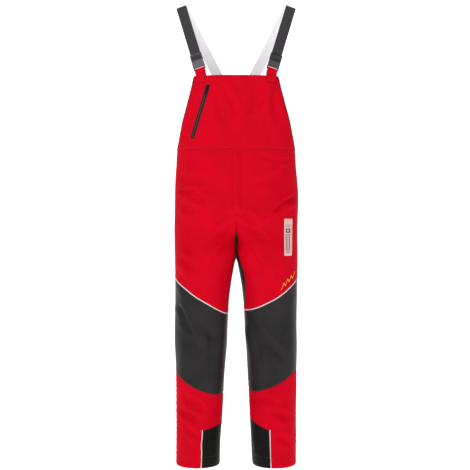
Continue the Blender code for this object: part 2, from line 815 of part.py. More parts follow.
def chest_zip_path(v, aside):
    (x0, h0), (x1, h1) = CHEST_ZIP
    slant = math.atan2(x0 - x1, h0 - h1)
    x = mix(x0, x1, v) + aside * math.cos(slant)
    return across(x, mix(h0, h1, v) - aside * math.sin(slant), 0.0)


zip_tape("chest_zip_tape", chest_zip_path, 8)
at, lift = zip_slider("chest_zip_slider", chest_zip_path, 0.045)
zip_puller("chest_zip_puller", at, lift, 0.024)

for word, side in SIDES:

    def side_zip_path(v, aside, side=side):
        t = SIDE_ZIP_T + side * aside / ZIP_TURN
        return body_point(t, mix(SIDE_ZIP[0], SIDE_ZIP[1], v), side)

    zip_tape(f"side_zip_tape_{word}", side_zip_path, 6)
    at, lift = zip_slider(f"side_zip_slider_{word}", side_zip_path, 0.06)
    zip_puller(f"side_zip_puller_{word}", at, lift, 0.022)


def fly_centre(v, aside):
    front = body_point(0.0, mix(FLY[0], FLY[1], v), LEFT)
    return Vector((aside, front.y, front.z))


zip_tape("fly_zip_tape", fly_centre, 6)
zip_slider("fly_zip_slider", fly_centre, 0.06, bridge=False)


def placket_point(u, v, inset):
    h = mix(FLY[1] - 0.012, WAIST_H - 0.004, v)
    front = body_point(0.0, h, LEFT, inset)
    return Vector((mix(-0.015, 0.015, u), front.y + 0.0006 * (abs(u - 0.5) > 0.4), front.z))


sheet("fly_placket", placket_point, 4, 8, RED_SHELL, thickness=0.0012, outer=-FLY_OUTSET - 0.0012)
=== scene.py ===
"""Bib ski pants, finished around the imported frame: sewn panels, webbing braces, buckles and zips."""

import math
from functools import partial

import bpy
import numpy as np
from mathutils import Matrix, Vector, noise
from mathutils.bvhtree import BVHTree

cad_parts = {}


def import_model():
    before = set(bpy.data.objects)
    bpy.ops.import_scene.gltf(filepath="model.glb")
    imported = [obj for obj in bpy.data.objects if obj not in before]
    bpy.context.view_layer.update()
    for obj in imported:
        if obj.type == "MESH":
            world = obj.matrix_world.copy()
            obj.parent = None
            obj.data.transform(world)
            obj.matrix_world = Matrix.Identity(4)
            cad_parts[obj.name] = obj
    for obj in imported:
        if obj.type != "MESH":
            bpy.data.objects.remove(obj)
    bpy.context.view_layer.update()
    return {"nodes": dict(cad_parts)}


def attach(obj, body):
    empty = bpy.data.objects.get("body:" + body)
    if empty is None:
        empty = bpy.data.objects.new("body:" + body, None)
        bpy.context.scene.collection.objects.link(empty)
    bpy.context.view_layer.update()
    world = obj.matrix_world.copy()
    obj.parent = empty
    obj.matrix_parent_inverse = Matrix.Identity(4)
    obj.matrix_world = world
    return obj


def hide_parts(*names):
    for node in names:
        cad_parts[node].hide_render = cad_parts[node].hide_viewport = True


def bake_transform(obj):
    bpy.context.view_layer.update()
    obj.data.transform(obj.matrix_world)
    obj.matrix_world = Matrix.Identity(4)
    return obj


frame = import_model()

# ---- The body shape, as in the solids: (height over the hems, distance) stations, metres ----
HANG_HEIGHT = 1.5540
WAIST_H = 1.050
ELASTIC_H = 0.040
BIB_TOP_H = 1.292
BACK_TOP_H = 1.225
CROTCH_H = 0.700
FORK_H = 0.830
HEM_H = 0.0
OUTER_X = ((0.00, 0.2030), (0.40, 0.2045), (0.62, 0.2075), (0.88, 0.2080), (1.05, 0.2000), (1.35, 0.2060))
FRONT_Y = ((0.00, -0.088), (0.44, -0.093), (0.70, -0.118), (0.86, -0.134), (1.05, -0.132), (1.35, -0.126))
BACK_Y = (
    (0.00, 0.079), (0.30, 0.088), (0.44, 0.088), (0.70, 0.124),
    (0.88, 0.150), (1.05, 0.122), (1.35, 0.128),
)
BIB_EDGE_X = (
    (1.05, 0.2000), (1.095, 0.1890), (1.148, 0.1770),
    (1.20, 0.1620), (1.253, 0.1480), (1.30, 0.1370),
)
YOKE_EDGE_X = ((1.05, 0.2000), (1.12, 0.1500), (1.18, 0.0900), (1.25, 0.0560))
HEM_GAP_X = 0.055
GAP_SLOPE = 0.054
THIGH_MEET_H = 0.53
ROUND_LEG = 2.15
ROUND_BODY = 2.3

# ---- Seams, as places round a leg: 0 inside, 0.25 front, 0.5 outside, 0.75 back, 1 inside again ----
OUTSEAM = 0.510
SIDE_SEAM = 0.500
KICK_FRONT = 0.225
KICK_BACK = 0.800
KICK_CORNER_H = 0.1240
KICK_CLEAR_H = 0.170
HEM_STITCH_H = 0.036
GUSSET_TOP_H = 0.790
BACK_SEAM_H = 0.530  # the seam across the back of the thigh

# ---- Cloth thickness, and the zips' upper and lower ends ----
CLOTH = 0.0024
CHEST_ZIP = ((-0.0905, 1.2600), (-0.1440, 1.0870))
SIDE_ZIP_T = 0.575
ZIP_TURN = 0.52
SIDE_ZIP = (1.040, 0.905)
FLY = (1.020, 0.860)
# where the fly and the side zips hold the cloth flat: height of the middle, half the length
FLY_FLAT = (0.950, 0.095)
SIDE_FLAT = (0.972, 0.070)
SIDE_FLAT_Y = 0.036
LEFT, RIGHT = 1, -1
# ---- Seams that differ between the legs: height inside, rise to the outside, and bend ----
KNEE_TOP = {LEFT: (0.5188, 0.1003, 1.60), RIGHT: (0.5060, 0.1131, 1.20)}
KNEE_FLICK = 0.0090
KNEE_BOTTOM = {LEFT: (0.2487, 0.0720, 1.72), RIGHT: (0.2387, 0.0710, 1.85)}
KICK_INNER_H = {LEFT: 0.1630, RIGHT: 0.1450}
INSEAM = {LEFT: 0.012, RIGHT: -0.030}
GUSSET_FRONT = {
    LEFT: ((0.5188, 0.012), (0.56, 0.066), (0.64, 0.092), (0.69, 0.070), (0.74, 0.020), (0.79, 0.0)),
    RIGHT: (
        (0.506, -0.030), (0.53, 0.004), (0.56, 0.024), (0.64, 0.034),
        (0.69, 0.034), (0.74, 0.014), (0.79, 0.0),
    ),
}
GUSSET_BACK = {
    LEFT: ((0.5188, 0.012), (0.56, -0.020), (0.63, -0.045), (0.70, 0.0), (0.79, 0.0)),
    RIGHT: ((0.506, -0.030), (0.56, -0.036), (0.63, -0.045), (0.70, 0.0), (0.79, 0.0)),
}
SIDES = (("left", LEFT), ("right", RIGHT))


# ---- Small helpers ----
def relaxed(points):
    """A row of points with each inner one drawn towards its neighbours."""
    inner = [(a + 2 * b + c) / 4 for a, b, c in zip(points, points[1:], points[2:])]
    return [points[0]] + inner + [points[-1]]


def place(x, y, h):
    return Vector((x, y, h - HANG_HEIGHT))


def ease(s):
    s = min(1.0, max(0.0, s))
    return s * s * (3 - 2 * s)


def mix(a, b, s):
    return a + (b - a) * s


def steps(low, high, count):
    """A row of evenly spaced values, with both ends."""
    return [mix(low, high, k / (count - 1)) for k in range(count)]

def station(stations, h):
    if h <= stations[0][0]:
        return stations[0][1]
    for (low, a), (high, b) in zip(stations, stations[1:]):
        if h <= high:
            return mix(a, b, ease((h - low) / (high - low)))
    return stations[-1][1]


def polyline(stations, value):
    for (low, a), (high, b) in zip(stations, stations[1:]):
        if value <= high:
            return mix(a, b, (value - low) / (high - low))
    return stations[-1][1]


def power(value, exponent):
    return math.copysign(abs(value) ** (2 / exponent), value)


def leg_gap(h):
    closing = max(0.0, (h - THIGH_MEET_H) / (CROTCH_H - THIGH_MEET_H))
    left_over = HEM_GAP_X - GAP_SLOPE * CROTCH_H
    return max(0.0006, HEM_GAP_X - GAP_SLOPE * h - left_over * closing**1.6)


def body_point(t, h, side):
    """The point of one half of the pants at place t and height h."""
    outer, front, back = station(OUTER_X, h), station(FRONT_Y, h), station(BACK_Y, h)
    middle, depth = (front + back) / 2, (back - front) / 2
    inner = leg_gap(h)
    around = 2 * math.pi * (t % 1.0 if h < CROTCH_H else t)
    centre, half = (outer + inner) / 2, (outer - inner) / 2
    leg_x = centre - half * power(math.cos(around), ROUND_LEG)
    leg_y = middle - depth * power(math.sin(around), ROUND_LEG)
    round_body = min(1.0, max(0.0, t))
    body_x = mix(inner, outer, power(math.sin(math.pi * round_body), ROUND_BODY))
    body_y = middle - depth * power(math.cos(math.pi * round_body), ROUND_BODY)
    share = ease((h - CROTCH_H) / (FORK_H - CROTCH_H))
    return place(side * mix(leg_x, body_x, share), mix(leg_y, body_y, share), h)


def place_at_x(x, h, back=False):
    share = (abs(x) / station(OUTER_X, h)) ** (ROUND_BODY / 2)
    t = math.asin(min(1.0, share)) / math.pi
    return 1 - t if back else t


def across(x, h, back=False):
    return body_point(place_at_x(x, h, back), h, LEFT if x >= 0 else RIGHT)


def outside(t):
    """0 at the inside of the leg, 1 at the outside."""
    return 0.5 - 0.5 * math.cos(2 * math.pi * t)


def knee_top(t, side):
    low, rise, bend = KNEE_TOP[side]
    return low + rise * outside(t) ** bend + KNEE_FLICK * outside(t) ** 8


def knee_bottom(t, side):
    low, rise, bend = KNEE_BOTTOM[side]
    return low + rise * outside(t) ** bend


def kick_top(t, side):
    inward = 1 - min(1.0, abs(((t + 0.5) % 1) - 0.5) / KICK_FRONT)
    return mix(KICK_CORNER_H, KICK_INNER_H[side], inward)


def gusset_front(h, side):
    """The front edge of the inner thigh gusset, a leaf that closes at both its ends."""
    return station(GUSSET_FRONT[side], h)


def gusset_back(h, side):
    return station(GUSSET_BACK[side], h)


# ---- Folds: (x, h) of both ends, half width, depth; x is towards the wearer's left ----
FRONT_SCALE = 2.8  # how much deeper than listed the folds are made
BACK_SCALE = 1.4
SOFT_DEPTH = 0.0050
FOLD_REACH = 0.012  # how fast the folds of one face die out towards the other
FRONT_FOLDS = (
    ((-0.085, 1.282), (-0.030, 1.120), 0.017, 0.0030),
    ((-0.060, 1.285), (0.010, 1.150), 0.013, 0.0022),
    ((0.085, 1.268), (0.040, 1.120), 0.018, 0.0030),
    ((0.100, 1.262), (0.075, 1.180), 0.011, 0.0022),
    ((0.120, 1.240), (0.140, 1.130), 0.016, 0.0020),
    ((-0.150, 1.160), (-0.165, 1.080), 0.012, 0.0016),
    ((-0.196, 0.914), (-0.140, 0.911), 0.008, 0.0032),
    ((-0.150, 0.912), (-0.105, 0.876), 0.011, 0.0032),
    ((-0.180, 0.962), (-0.090, 0.948), 0.013, 0.0020),
    ((-0.185, 0.868), (-0.130, 0.846), 0.012, 0.0024),
    ((0.196, 0.896), (0.158, 0.872), 0.009, 0.0036),
    ((0.165, 0.884), (0.125, 0.842), 0.010, 0.0030),
    ((0.190, 1.016), (0.128, 1.012), 0.006, 0.0013),
    ((0.130, 1.014), (0.060, 1.034), 0.007, 0.0010),
    ((0.150, 0.968), (0.060, 0.930), 0.014, 0.0018),
    ((-0.010, 0.845), (-0.070, 0.790), 0.011, 0.0032),
    ((0.010, 0.845), (0.078, 0.800), 0.011, 0.0036),
    ((0.014, 0.800), (0.105, 0.748), 0.012, 0.0030),
    ((-0.014, 0.790), (-0.100, 0.725), 0.012, 0.0028),
    ((-0.020, 0.750), (-0.085, 0.660), 0.014, 0.0022),
    ((0.024, 0.745), (0.088, 0.640), 0.014, 0.0024),
    ((-0.192, 0.700), (-0.130, 0.650), 0.012, 0.0026),
    ((-0.188, 0.640), (-0.150, 0.560), 0.012, 0.0022),
    ((0.060, 0.700), (0.120, 0.560), 0.020, 0.0022),
    ((-0.194, 0.540), (-0.165, 0.480), 0.008, 0.0024),
    ((-0.188, 0.500), (-0.140, 0.440), 0.010, 0.0018),
    ((-0.150, 0.470), (-0.080, 0.400), 0.018, -0.0020),
    ((-0.080, 0.480), (-0.085, 0.330), 0.016, 0.0022),
    ((0.050, 0.480), (0.085, 0.360), 0.014, 0.0030),
    ((0.070, 0.470), (0.130, 0.360), 0.015, 0.0034),
    ((0.110, 0.420), (0.165, 0.350), 0.011, 0.0026),
    ((-0.170, 0.240), (-0.100, 0.190), 0.011, 0.0026),
    ((-0.190, 0.190), (-0.120, 0.155), 0.010, 0.0030),
    ((-0.165, 0.130), (-0.120, 0.100), 0.009, 0.0022),
    ((0.080, 0.240), (0.150, 0.205), 0.011, 0.0026),
    ((0.110, 0.200), (0.180, 0.160), 0.012, 0.0026),
    ((0.130, 0.110), (0.185, 0.080), 0.011, 0.0020),
)
BACK_FOLDS = (
    ((0.020, 0.830), (0.120, 0.770), 0.013, 0.0040),
    ((-0.020, 0.835), (-0.125, 0.775), 0.013, 0.0038),
    ((0.030, 0.770), (0.150, 0.700), 0.014, 0.0034),
    ((-0.030, 0.765), (-0.150, 0.690), 0.015, 0.0036),
    ((0.060, 0.500), (0.190, 0.470), 0.010, 0.0042),
    ((-0.055, 0.495), (-0.190, 0.475), 0.010, 0.0042),
    ((0.050, 0.460), (0.180, 0.440), 0.009, 0.0050),
    ((-0.060, 0.455), (-0.185, 0.435), 0.009, 0.0048),
    ((0.060, 0.420), (0.190, 0.405), 0.010, 0.0038),
    ((-0.050, 0.425), (-0.180, 0.400), 0.010, 0.0040),
    ((0.080, 0.200), (0.170, 0.150), 0.013, 0.0028),
    ((-0.080, 0.190), (-0.175, 0.160), 0.013, 0.0028),
    ((0.020, 1.000), (0.110, 0.960), 0.016, 0.0022),
    ((-0.020, 1.000), (-0.120, 0.955), 0.016, 0.0022),
)


def open_cloth(x, y, h):
    """1 in the open and 0 beside the zips, which hold the cloth flat."""
    (x0, h0), (x1, h1) = CHEST_ZIP
    run_x, run_h = x1 - x0, h1 - h0
    along = np.clip(((x - x0) * run_x + (h - h0) * run_h) / (run_x**2 + run_h**2), 0, 1)
    chest = np.hypot(x - x0 - along * run_x, h - h0 - along * run_h) + (y > 0)
    fly = np.hypot(x, np.maximum(np.abs(h - FLY_FLAT[0]) - FLY_FLAT[1], 0)) + (y > 0)
    past_end = np.maximum(np.abs(h - SIDE_FLAT[0]) - SIDE_FLAT[1], 0)
    pocket = np.hypot(y - SIDE_FLAT_Y, past_end) + (np.abs(x) < 0.15)
    nearest = np.minimum(np.minimum(chest, fly), pocket)
    return np.clip((nearest - 0.010) / 0.022, 0, 1)


def fold_depths(points):
    """How far each point of an (n, 3) array moves out along its normal."""
    x, y, h = points[:, 0], points[:, 1], points[:, 2] + HANG_HEIGHT
    moved = np.zeros(len(points))
    for folds, facing, scale in ((FRONT_FOLDS, -1, FRONT_SCALE), (BACK_FOLDS, 1, BACK_SCALE)):
        on_face = 1 / (1 + np.exp(-facing * y / FOLD_REACH))
        for (x0, h0), (x1, h1), width, depth in folds:
            run = np.array((x1 - x0, h1 - h0))
            length = np.linalg.norm(run)
            along = ((x - x0) * run[0] + (h - h0) * run[1]) / length**2
            apart = ((x - x0) * run[1] - (h - h0) * run[0]) / length
            bow = 0.10 * length * (along - 0.5) ** 2
            inside = np.clip(along, -0.25, 1.25)
            taper = np.exp(-(((inside - 0.5) / 0.42) ** 4)) * np.exp(-((along - inside) ** 2) * 40)
            s = (apart - bow) / width
            profile = np.exp(-s * s) - 0.55 * np.exp(-((np.abs(s) - 1.7) ** 2))
            moved -= scale * depth * on_face * taper * profile
    soft = [
        noise.noise(Vector((px * 9, py * 9 + 3.1, pz * 4.0)))
        + 0.45 * noise.noise(Vector((px * 21 + 7.7, py * 21, pz * 10.0)))
        for px, py, pz in points
    ]
    return open_cloth(x, y, h) * (moved + SOFT_DEPTH * np.array(soft))


# ---- Materials ----
class Nodes:
    """A material's node tree, with short calls for adding to it."""

    def __init__(self, name):
        self.material = bpy.data.materials.new(name)
        self.material.use_nodes = True
        self.tree = self.material.node_tree
        self.shader = self.tree.nodes["Principled BSDF"]

    def feed(self, socket, value):
        """Links the value to the socket, or sets it there."""
        if hasattr(value, "is_output"):
            self.tree.links.new(value, socket)
        else:
            socket.default_value = value

    def add(self, kind, **inputs):
        node = self.tree.nodes.new(kind)
        for key, value in inputs.items():
            self.feed(node.inputs[key.replace("_", " ")], value)
        return node

    def surface(self, **inputs):
        for key, value in inputs.items():
            self.feed(self.shader.inputs[key.replace("_", " ")], value)

    def math(self, operation, a, b=0.0):
        node = self.tree.nodes.new("ShaderNodeMath")
        node.operation = operation
        self.feed(node.inputs[0], a)
        self.feed(node.inputs[1], b)
        return node.outputs[0]

    def scaled(self, value, factor, plus):
        return self.math("ADD", self.math("MULTIPLY", value, factor), plus)

    def wave(self, value, turns):
        """A sine of the value, with that many turns in a metre."""
        return self.math("SINE", self.math("MULTIPLY", value, 2 * math.pi * turns))

    def noise(self, where, **inputs):
        return self.add("ShaderNodeTexNoise", Vector=where, **inputs).outputs[0]

    def place(self):
        return self.add("ShaderNodeTexCoord").outputs["Object"]

    def uv(self):
        """The UV place, and its two parts."""
        uv = self.add("ShaderNodeUVMap").outputs[0]
        split = self.add("ShaderNodeSeparateXYZ", Vector=uv)
        return uv, split.outputs[0], split.outputs[1]

    def ramp(self, factor, *stops):
        node = self.add("ShaderNodeValToRGB", Fac=factor)
        ramp = node.color_ramp
        while len(ramp.elements) < len(stops):
            ramp.elements.new(0.5)
        for element, (position, colour) in zip(ramp.elements, stops):
            element.position = position
            element.color = colour
        return node.outputs[0]

    def bump(self, height, strength, distance, before=None):
        inputs = {"Height": height, "Strength": strength, "Distance": distance}
        if before is not None:
            inputs["Normal"] = before
        return self.add("ShaderNodeBump", **inputs).outputs[0]


def shade(colour, factor):
    return tuple(min(1.0, c * factor) for c in colour[:3]) + (1,)


def cloth_material(
    name, colour, rough=0.72, weave=900.0, relief=0.35, sheen=0.15, variation=0.10, twill=True, gloss=0.12,
):
    """Woven cloth: yarns along the UV axes, soft mottling, and a little nap."""
    made = Nodes(name)
    _, x, y = made.uv()
    warp = made.wave(made.math("ADD", x, y) if twill else x, weave / 1.6)
    weft = made.wave(y, weave / 2.4)
    yarn = made.scaled(warp, 0.5, made.math("MULTIPLY", weft, 0.35))
    where = made.place()
    mottle = made.noise(where, Scale=14.0, Detail=5.0, Roughness=0.55)
    fine = made.noise(where, Scale=420.0, Detail=2.0)
    tone = made.scaled(mottle, 0.75, made.math("MULTIPLY", fine, 0.25))
    low, high = shade(colour, 1 - variation), shade(colour, 1 + variation)
    crumple = made.noise(where, Scale=38.0, Detail=3.0, Roughness=0.6)
    made.surface(
        Base_Color=made.ramp(tone, (0.35, low), (0.65, high)),
        Roughness=made.scaled(mottle, 0.12, rough - 0.06),
        Normal=made.bump(yarn, relief, 0.00018, made.bump(crumple, 0.42, 0.0026)),
        Sheen_Weight=sheen,
        Sheen_Roughness=0.5,
        Specular_IOR_Level=gloss,
    )
    return made.material


def webbing_material(name, colour, rib_colour, relief=0.6):
    """Elastic webbing: fine ribs across it that slant, as woven herringbone does."""
    made = Nodes(name)
    _, x, y = made.uv()
    ribs = made.wave(made.scaled(x, 0.9, y), 1 / 0.0031)
    both = made.scaled(ribs, 0.5, made.math("MULTIPLY", made.wave(x, 1 / 0.0016), 0.25))
    made.surface(
        Base_Color=made.ramp(made.scaled(both, 0.5, 0.5), (0.2, rib_colour), (0.8, colour)),
        Normal=made.bump(both, relief, 0.0004),
        Roughness=0.85,
        Sheen_Weight=0.2,
        Specular_IOR_Level=0.2,
    )
    return made.material


def plastic_material(name, colour, rough=0.42):
    """Moulded plastic with a fine spark-eroded grain and slight wear."""
    made = Nodes(name)
    where = made.place()
    wear = made.noise(where, Scale=160.0, Detail=4.0)
    made.surface(
        Base_Color=made.ramp(wear, (0.3, shade(colour, 0.88)), (0.72, shade(colour, 1.16))),
        Roughness=made.scaled(wear, 0.16, rough - 0.08),
        Normal=made.bump(made.noise(where, Scale=2200.0, Detail=2.0), 0.12, 0.0002),
    )
    return made.material


def metal_material(name, colour):
    made = Nodes(name)
    wear = made.noise(made.place(), Scale=300.0, Detail=4.0)
    made.surface(
        Base_Color=made.ramp(wear, (0.4, colour), (0.75, shade(colour, 1.5))),
        Roughness=made.scaled(wear, 0.2, 0.25),
        Metallic=0.7,
    )
    return made.material


# where the ink is on the label, in metres from its corner
LABEL_FRAME = ((0.0060, 0.0250), (0.0760, 0.0900))
LABEL_HOLE = ((0.0110, 0.0180), (0.0800, 0.0870))
BAR_HEIGHTS = (0.018, 0.068)
LINE_WIDTH = (0.0050, 0.0250)
LABEL_BARS = ((0.0060, 0.0090), (0.0130, 0.0150), (0.0190, 0.0225))
LABEL_LINES = ((0.0950, 0.0966), (0.1010, 0.1024), (0.0700, 0.0716), (0.0100, 0.0116), (0.0145, 0.0158))


def striped_label_material(name):
    """A pale printed label with plain bands and blocks, and no lettering."""
    made = Nodes(name)
    uv, x, y = made.uv()

    def band(value, low, high):
        over = made.math("GREATER_THAN", value, low)
        return made.math("MULTIPLY", over, made.math("LESS_THAN", value, high))

    def block(wide, high):
        return made.math("MULTIPLY", band(x, *wide), band(y, *high))

    ink = made.math("SUBTRACT", block(*LABEL_FRAME), block(*LABEL_HOLE))
    for wide in LABEL_BARS:
        ink = made.math("MAXIMUM", ink, block(wide, BAR_HEIGHTS))
    for high in LABEL_LINES:
        ink = made.math("MAXIMUM", ink, block(LINE_WIDTH, high))
    made.surface(
        Base_Color=made.ramp(ink, (0.0, (0.80, 0.52, 0.47, 1)), (1.0, (0.10, 0.050, 0.045, 1))),
        Normal=made.bump(made.noise(uv, Scale=900.0), 0.2, 0.0002),
        Roughness=0.55,
    )
    return made.material


RED_COLOUR = (0.650, 0.0016, 0.0145, 1)
BLACK_COLOUR = (0.0240, 0.0222, 0.0228, 1)
RED = cloth_material("red_shell_cloth", RED_COLOUR, 0.70, 900, 0.30, 0.0, 0.06, gloss=0.022)
BLACK = cloth_material("black_reinforcing_cloth", BLACK_COLOUR, 0.46, 620, 0.5, 0.0, 0.16, gloss=0.10)
KICK = cloth_material(
    "kick_patch_cloth", (0.0085, 0.0074, 0.0062, 1), 0.5, 500, 0.6, 0.0, 0.16, twill=False, gloss=0.06,
)
LINING = cloth_material("grey_lining_cloth", (0.42, 0.42, 0.44, 1), 0.8, 700, 0.3, 0.2, 0.06)
ELASTIC = webbing_material("waist_elastic_cloth", (0.030, 0.028, 0.030, 1), (0.012, 0.011, 0.012, 1))
WEB_DARK = webbing_material("brace_outer", (0.056, 0.049, 0.054, 1), (0.034, 0.029, 0.033, 1))
WEB_PALE = webbing_material("brace_inner", (0.93, 0.92, 0.95, 1), (0.82, 0.81, 0.84, 1), 0.3)
PIPING = cloth_material("piping_cloth", (0.86, 0.74, 0.73, 1), 0.45, 700, 0.2, 0.1, 0.03)
BINDING = cloth_material("dark_red_binding", (0.150, 0.0020, 0.0130, 1), 0.7, 900, 0.3, 0.0, 0.05, gloss=0.02)
THREAD_RED = cloth_material("red_thread", (0.47, 0.0022, 0.0100, 1), 0.6, 2500, 0.4, 0.1, 0.05)
THREAD_BLACK = cloth_material("black_thread", (0.05, 0.048, 0.05, 1), 0.6, 2500, 0.4, 0.1, 0.05)
THREAD_YELLOW = cloth_material("yellow_thread", (0.98, 0.40, 0.012, 1), 0.5, 2500, 0.4, 0.1, 0.08)
ZIP_TAPE = cloth_material("zip_tape_cloth", (0.016, 0.011, 0.011, 1), 0.7, 800, 0.5, 0.1, 0.1)
ZIP_TEETH = plastic_material("zip_coil_plastic", (0.085, 0.066, 0.060, 1), 0.5)
ZIP_METAL = metal_material("zip_black_metal", (0.010, 0.009, 0.009, 1))
BUCKLE = plastic_material("buckle_plastic", (0.080, 0.072, 0.076, 1), 0.46)
BUCKLE_DARK = plastic_material("prong_plastic", (0.026, 0.023, 0.024, 1), 0.30)
LABEL = striped_label_material("printed_label")


# ---- Mesh makers ----
def new_object(name, verts, faces, materials, face_materials=None, uvs=None):
    mesh = bpy.data.meshes.new(name)
    mesh.from_pydata([tuple(v) for v in verts], [], faces)
    for item in materials:
        mesh.materials.append(item)
    if face_materials is not None:
        mesh.polygons.foreach_set("material_index", face_materials)
    if uvs is not None:
        layer = mesh.uv_layers.new(name="UVMap")
        corner = np.empty(len(mesh.loops), dtype=np.int32)
        mesh.loops.foreach_get("vertex_index", corner)
        layer.data.foreach_set("uv", np.asarray(uvs, dtype=np.float32)[corner].ravel())
    mesh.polygons.foreach_set("use_smooth", [True] * len(mesh.polygons))
    mesh.update()
    obj = bpy.data.objects.new(name, mesh)
    bpy.context.scene.collection.objects.link(obj)
    return obj


def spread(length, spacing, edges=(0.0016, 0.0042)):
    """Places from 0 to 1, closer together beside both edges."""
    count = max(2, round(length / spacing))
    near = [e / length for e in edges if e < 0.2 * length]
    start = near[-1] if near else 0
    inner = [mix(start, 1 - start, k / count) for k in range(1, count)]
    return [0.0] + near + inner + [1 - n for n in reversed(near)] + [1.0]


def grid_of(point, us, vs):
    return np.array([[tuple(point(u, v)) for u in us] for v in vs])


def normals_of(grid):
    along = np.gradient(grid, axis=1)
    up = np.gradient(grid, axis=0)
    normals = np.cross(along, up)
    lengths = np.linalg.norm(normals, axis=2, keepdims=True)
    return normals / np.maximum(lengths, 1e-12)


def arc_uv(grid):
    """UVs in metres along the middle row and column of a grid."""
    rows, columns, _ = grid.shape
    across_steps = np.linalg.norm(np.diff(grid[rows // 2], axis=0), axis=1)
    up_steps = np.linalg.norm(np.diff(grid[:, columns // 2], axis=0), axis=1)
    u = np.concatenate(([0.0], np.cumsum(across_steps)))
    v = np.concatenate(([0.0], np.cumsum(up_steps)))
    return np.stack(np.meshgrid(u, v), axis=2)


def edge_distance(uv):
    u, v = uv[:, :, 0], uv[:, :, 1]
    return np.minimum(np.minimum(u, u.max() - u), np.minimum(v, v.max() - v))


def layer_shell(name, outer, inner, materials, uv):
    """A closed shell from an outer and an inner grid of the same size, with a rim between them."""
    rows, columns, _ = outer.shape
    verts = np.concatenate((outer.reshape(-1, 3), inner.reshape(-1, 3)))
    uvs = np.concatenate((uv.reshape(-1, 2), uv.reshape(-1, 2)))
    count = rows * columns
    faces, kinds = [], []
    for j in range(rows - 1):
        for i in range(columns - 1):
            a = j * columns + i
            quad = (a, a + 1, a + 1 + columns, a + columns)
            faces.append(quad)
            kinds.append(0)
            faces.append(tuple(q + count for q in reversed(quad)))
            kinds.append(min(1, len(materials) - 1))
    rim = list(range(columns))
    rim += [j * columns + columns - 1 for j in range(1, rows)]
    rim += [(rows - 1) * columns + i for i in range(columns - 2, -1, -1)]
    rim += [j * columns for j in range(rows - 2, 0, -1)]
    for a, b in zip(rim, rim[1:] + rim[:1]):
        faces.append((a, a + count, b + count, b))
        kinds.append(0)
    return new_object(name, verts, faces, materials, kinds, uvs)


PUCKER = 0.00045


def eased(share):
    share = np.clip(share, 0, 1)
    return share * share * (3 - 2 * share)


def seam_puckers(uv, inward):
    """Small waves where a seam gathers the cloth."""
    beside = np.exp(-(((inward - 0.006) / 0.006) ** 2))
    phase = uv[:, :, 0] * 390 + 1.3 * np.sin(uv[:, :, 1] * 61) + uv[:, :, 1] * 370
    return PUCKER * beside * np.sin(phase)


def meet_in_the_middle(base, x):
    """Closes the gap between the two halves of the seat, fork and fly."""
    h = base[:, :, 2] + HANG_HEIGHT
    near_centre = np.clip((0.0052 - np.abs(base[:, :, 0])) / 0.0020, 0, 1)
    share = np.clip((h - CROTCH_H + 0.019) / 0.010, 0, 1) * near_centre
    return x * (1 - share) + np.sign(base[:, :, 0]) * 0.00005 * share


def cloth(
    name, point, size, materials, side=LEFT, spacing=0.0052, thick=CLOTH, roll=0.0012, folds=1.0, lift=0.0,
    more=None, held="hung", extra=(), meets=False,
):
    """A sewn panel over point(u, v): folds, edges that roll into their seams, an inside and a rim."""
    width, height = size
    columns = spread(width, spacing)
    for u in extra:
        columns = sorted([c for c in columns if abs(c - u) > 0.004] + [u - 0.0006, u + 0.0006])
    base = grid_of(point, columns, spread(height, spacing))
    uv = arc_uv(base)
    normals = normals_of(base) * side
    inward = edge_distance(uv)
    out = np.full(inward.shape, lift)
    if folds:
        near = np.clip(inward / 0.020, 0, 1)
        out += folds * fold_depths(base.reshape(-1, 3)).reshape(inward.shape) * (0.35 + 0.65 * near)
        out += seam_puckers(uv, inward)
    if more is not None:
        out += more(base, uv)
    out -= roll * (1 - eased(inward / 0.0055))
    outer = base + normals * out[:, :, None]
    rim_in = np.minimum(thick, thick * 0.55 + inward * 0.5)
    inner = base + normals * (out - rim_in)[:, :, None]
    if meets:
        outer[:, :, 0] = meet_in_the_middle(base, outer[:, :, 0])
    if side < 0:
        outer, inner, uv = outer[:, ::-1], inner[:, ::-1], uv[:, ::-1]
    obj = layer_shell(name, outer, inner, materials, uv)
    return obj


def tube(name, points, radius, material, sides=8):
    """A round cord through the points."""
    verts, faces, uvs = [], [], []
    first = None
    travelled = 0.0
    for k, here in enumerate(points):
        ahead, behind = points[min(k + 1, len(points) - 1)], points[max(k - 1, 0)]
        along = (ahead - behind).normalized()
        first = along.orthogonal() if first is None else first - along * first.dot(along)
        first.normalize()
        second = along.cross(first)
        if k:
            travelled += (here - points[k - 1]).length
        for j in range(sides):
            a = 2 * math.pi * j / sides
            verts.append(here + radius * (math.cos(a) * first + math.sin(a) * second))
            uvs.append((j / sides * 2 * math.pi * radius, travelled))
    for k in range(len(points) - 1):
        for j in range(sides):
            n = (j + 1) % sides
            faces.append((k * sides + j, k * sides + n, (k + 1) * sides + n, (k + 1) * sides + j))
    faces.append(tuple(reversed(range(sides))))
    faces.append(tuple(range((len(points) - 1) * sides, len(points) * sides)))
    return new_object(name, verts, faces, [material], None, uvs)


def add_bar(verts, faces, rings, flip=False):
    """Adds a closed bar through rings of five points."""
    starts = []
    for ring in rings:
        starts.append(len(verts))
        verts.extend(ring)
    for a, b in zip(starts, starts[1:]):
        for j in range(5):
            n = (j + 1) % 5
            quad = (a + j, a + n, b + n, b + j)
            faces.append(tuple(reversed(quad)) if flip else quad)
    first, last = (tuple(range(start, start + 5)) for start in (starts[0], starts[-1]))
    faces.append(first if flip else tuple(reversed(first)))
    faces.append(tuple(reversed(last)) if flip else last)


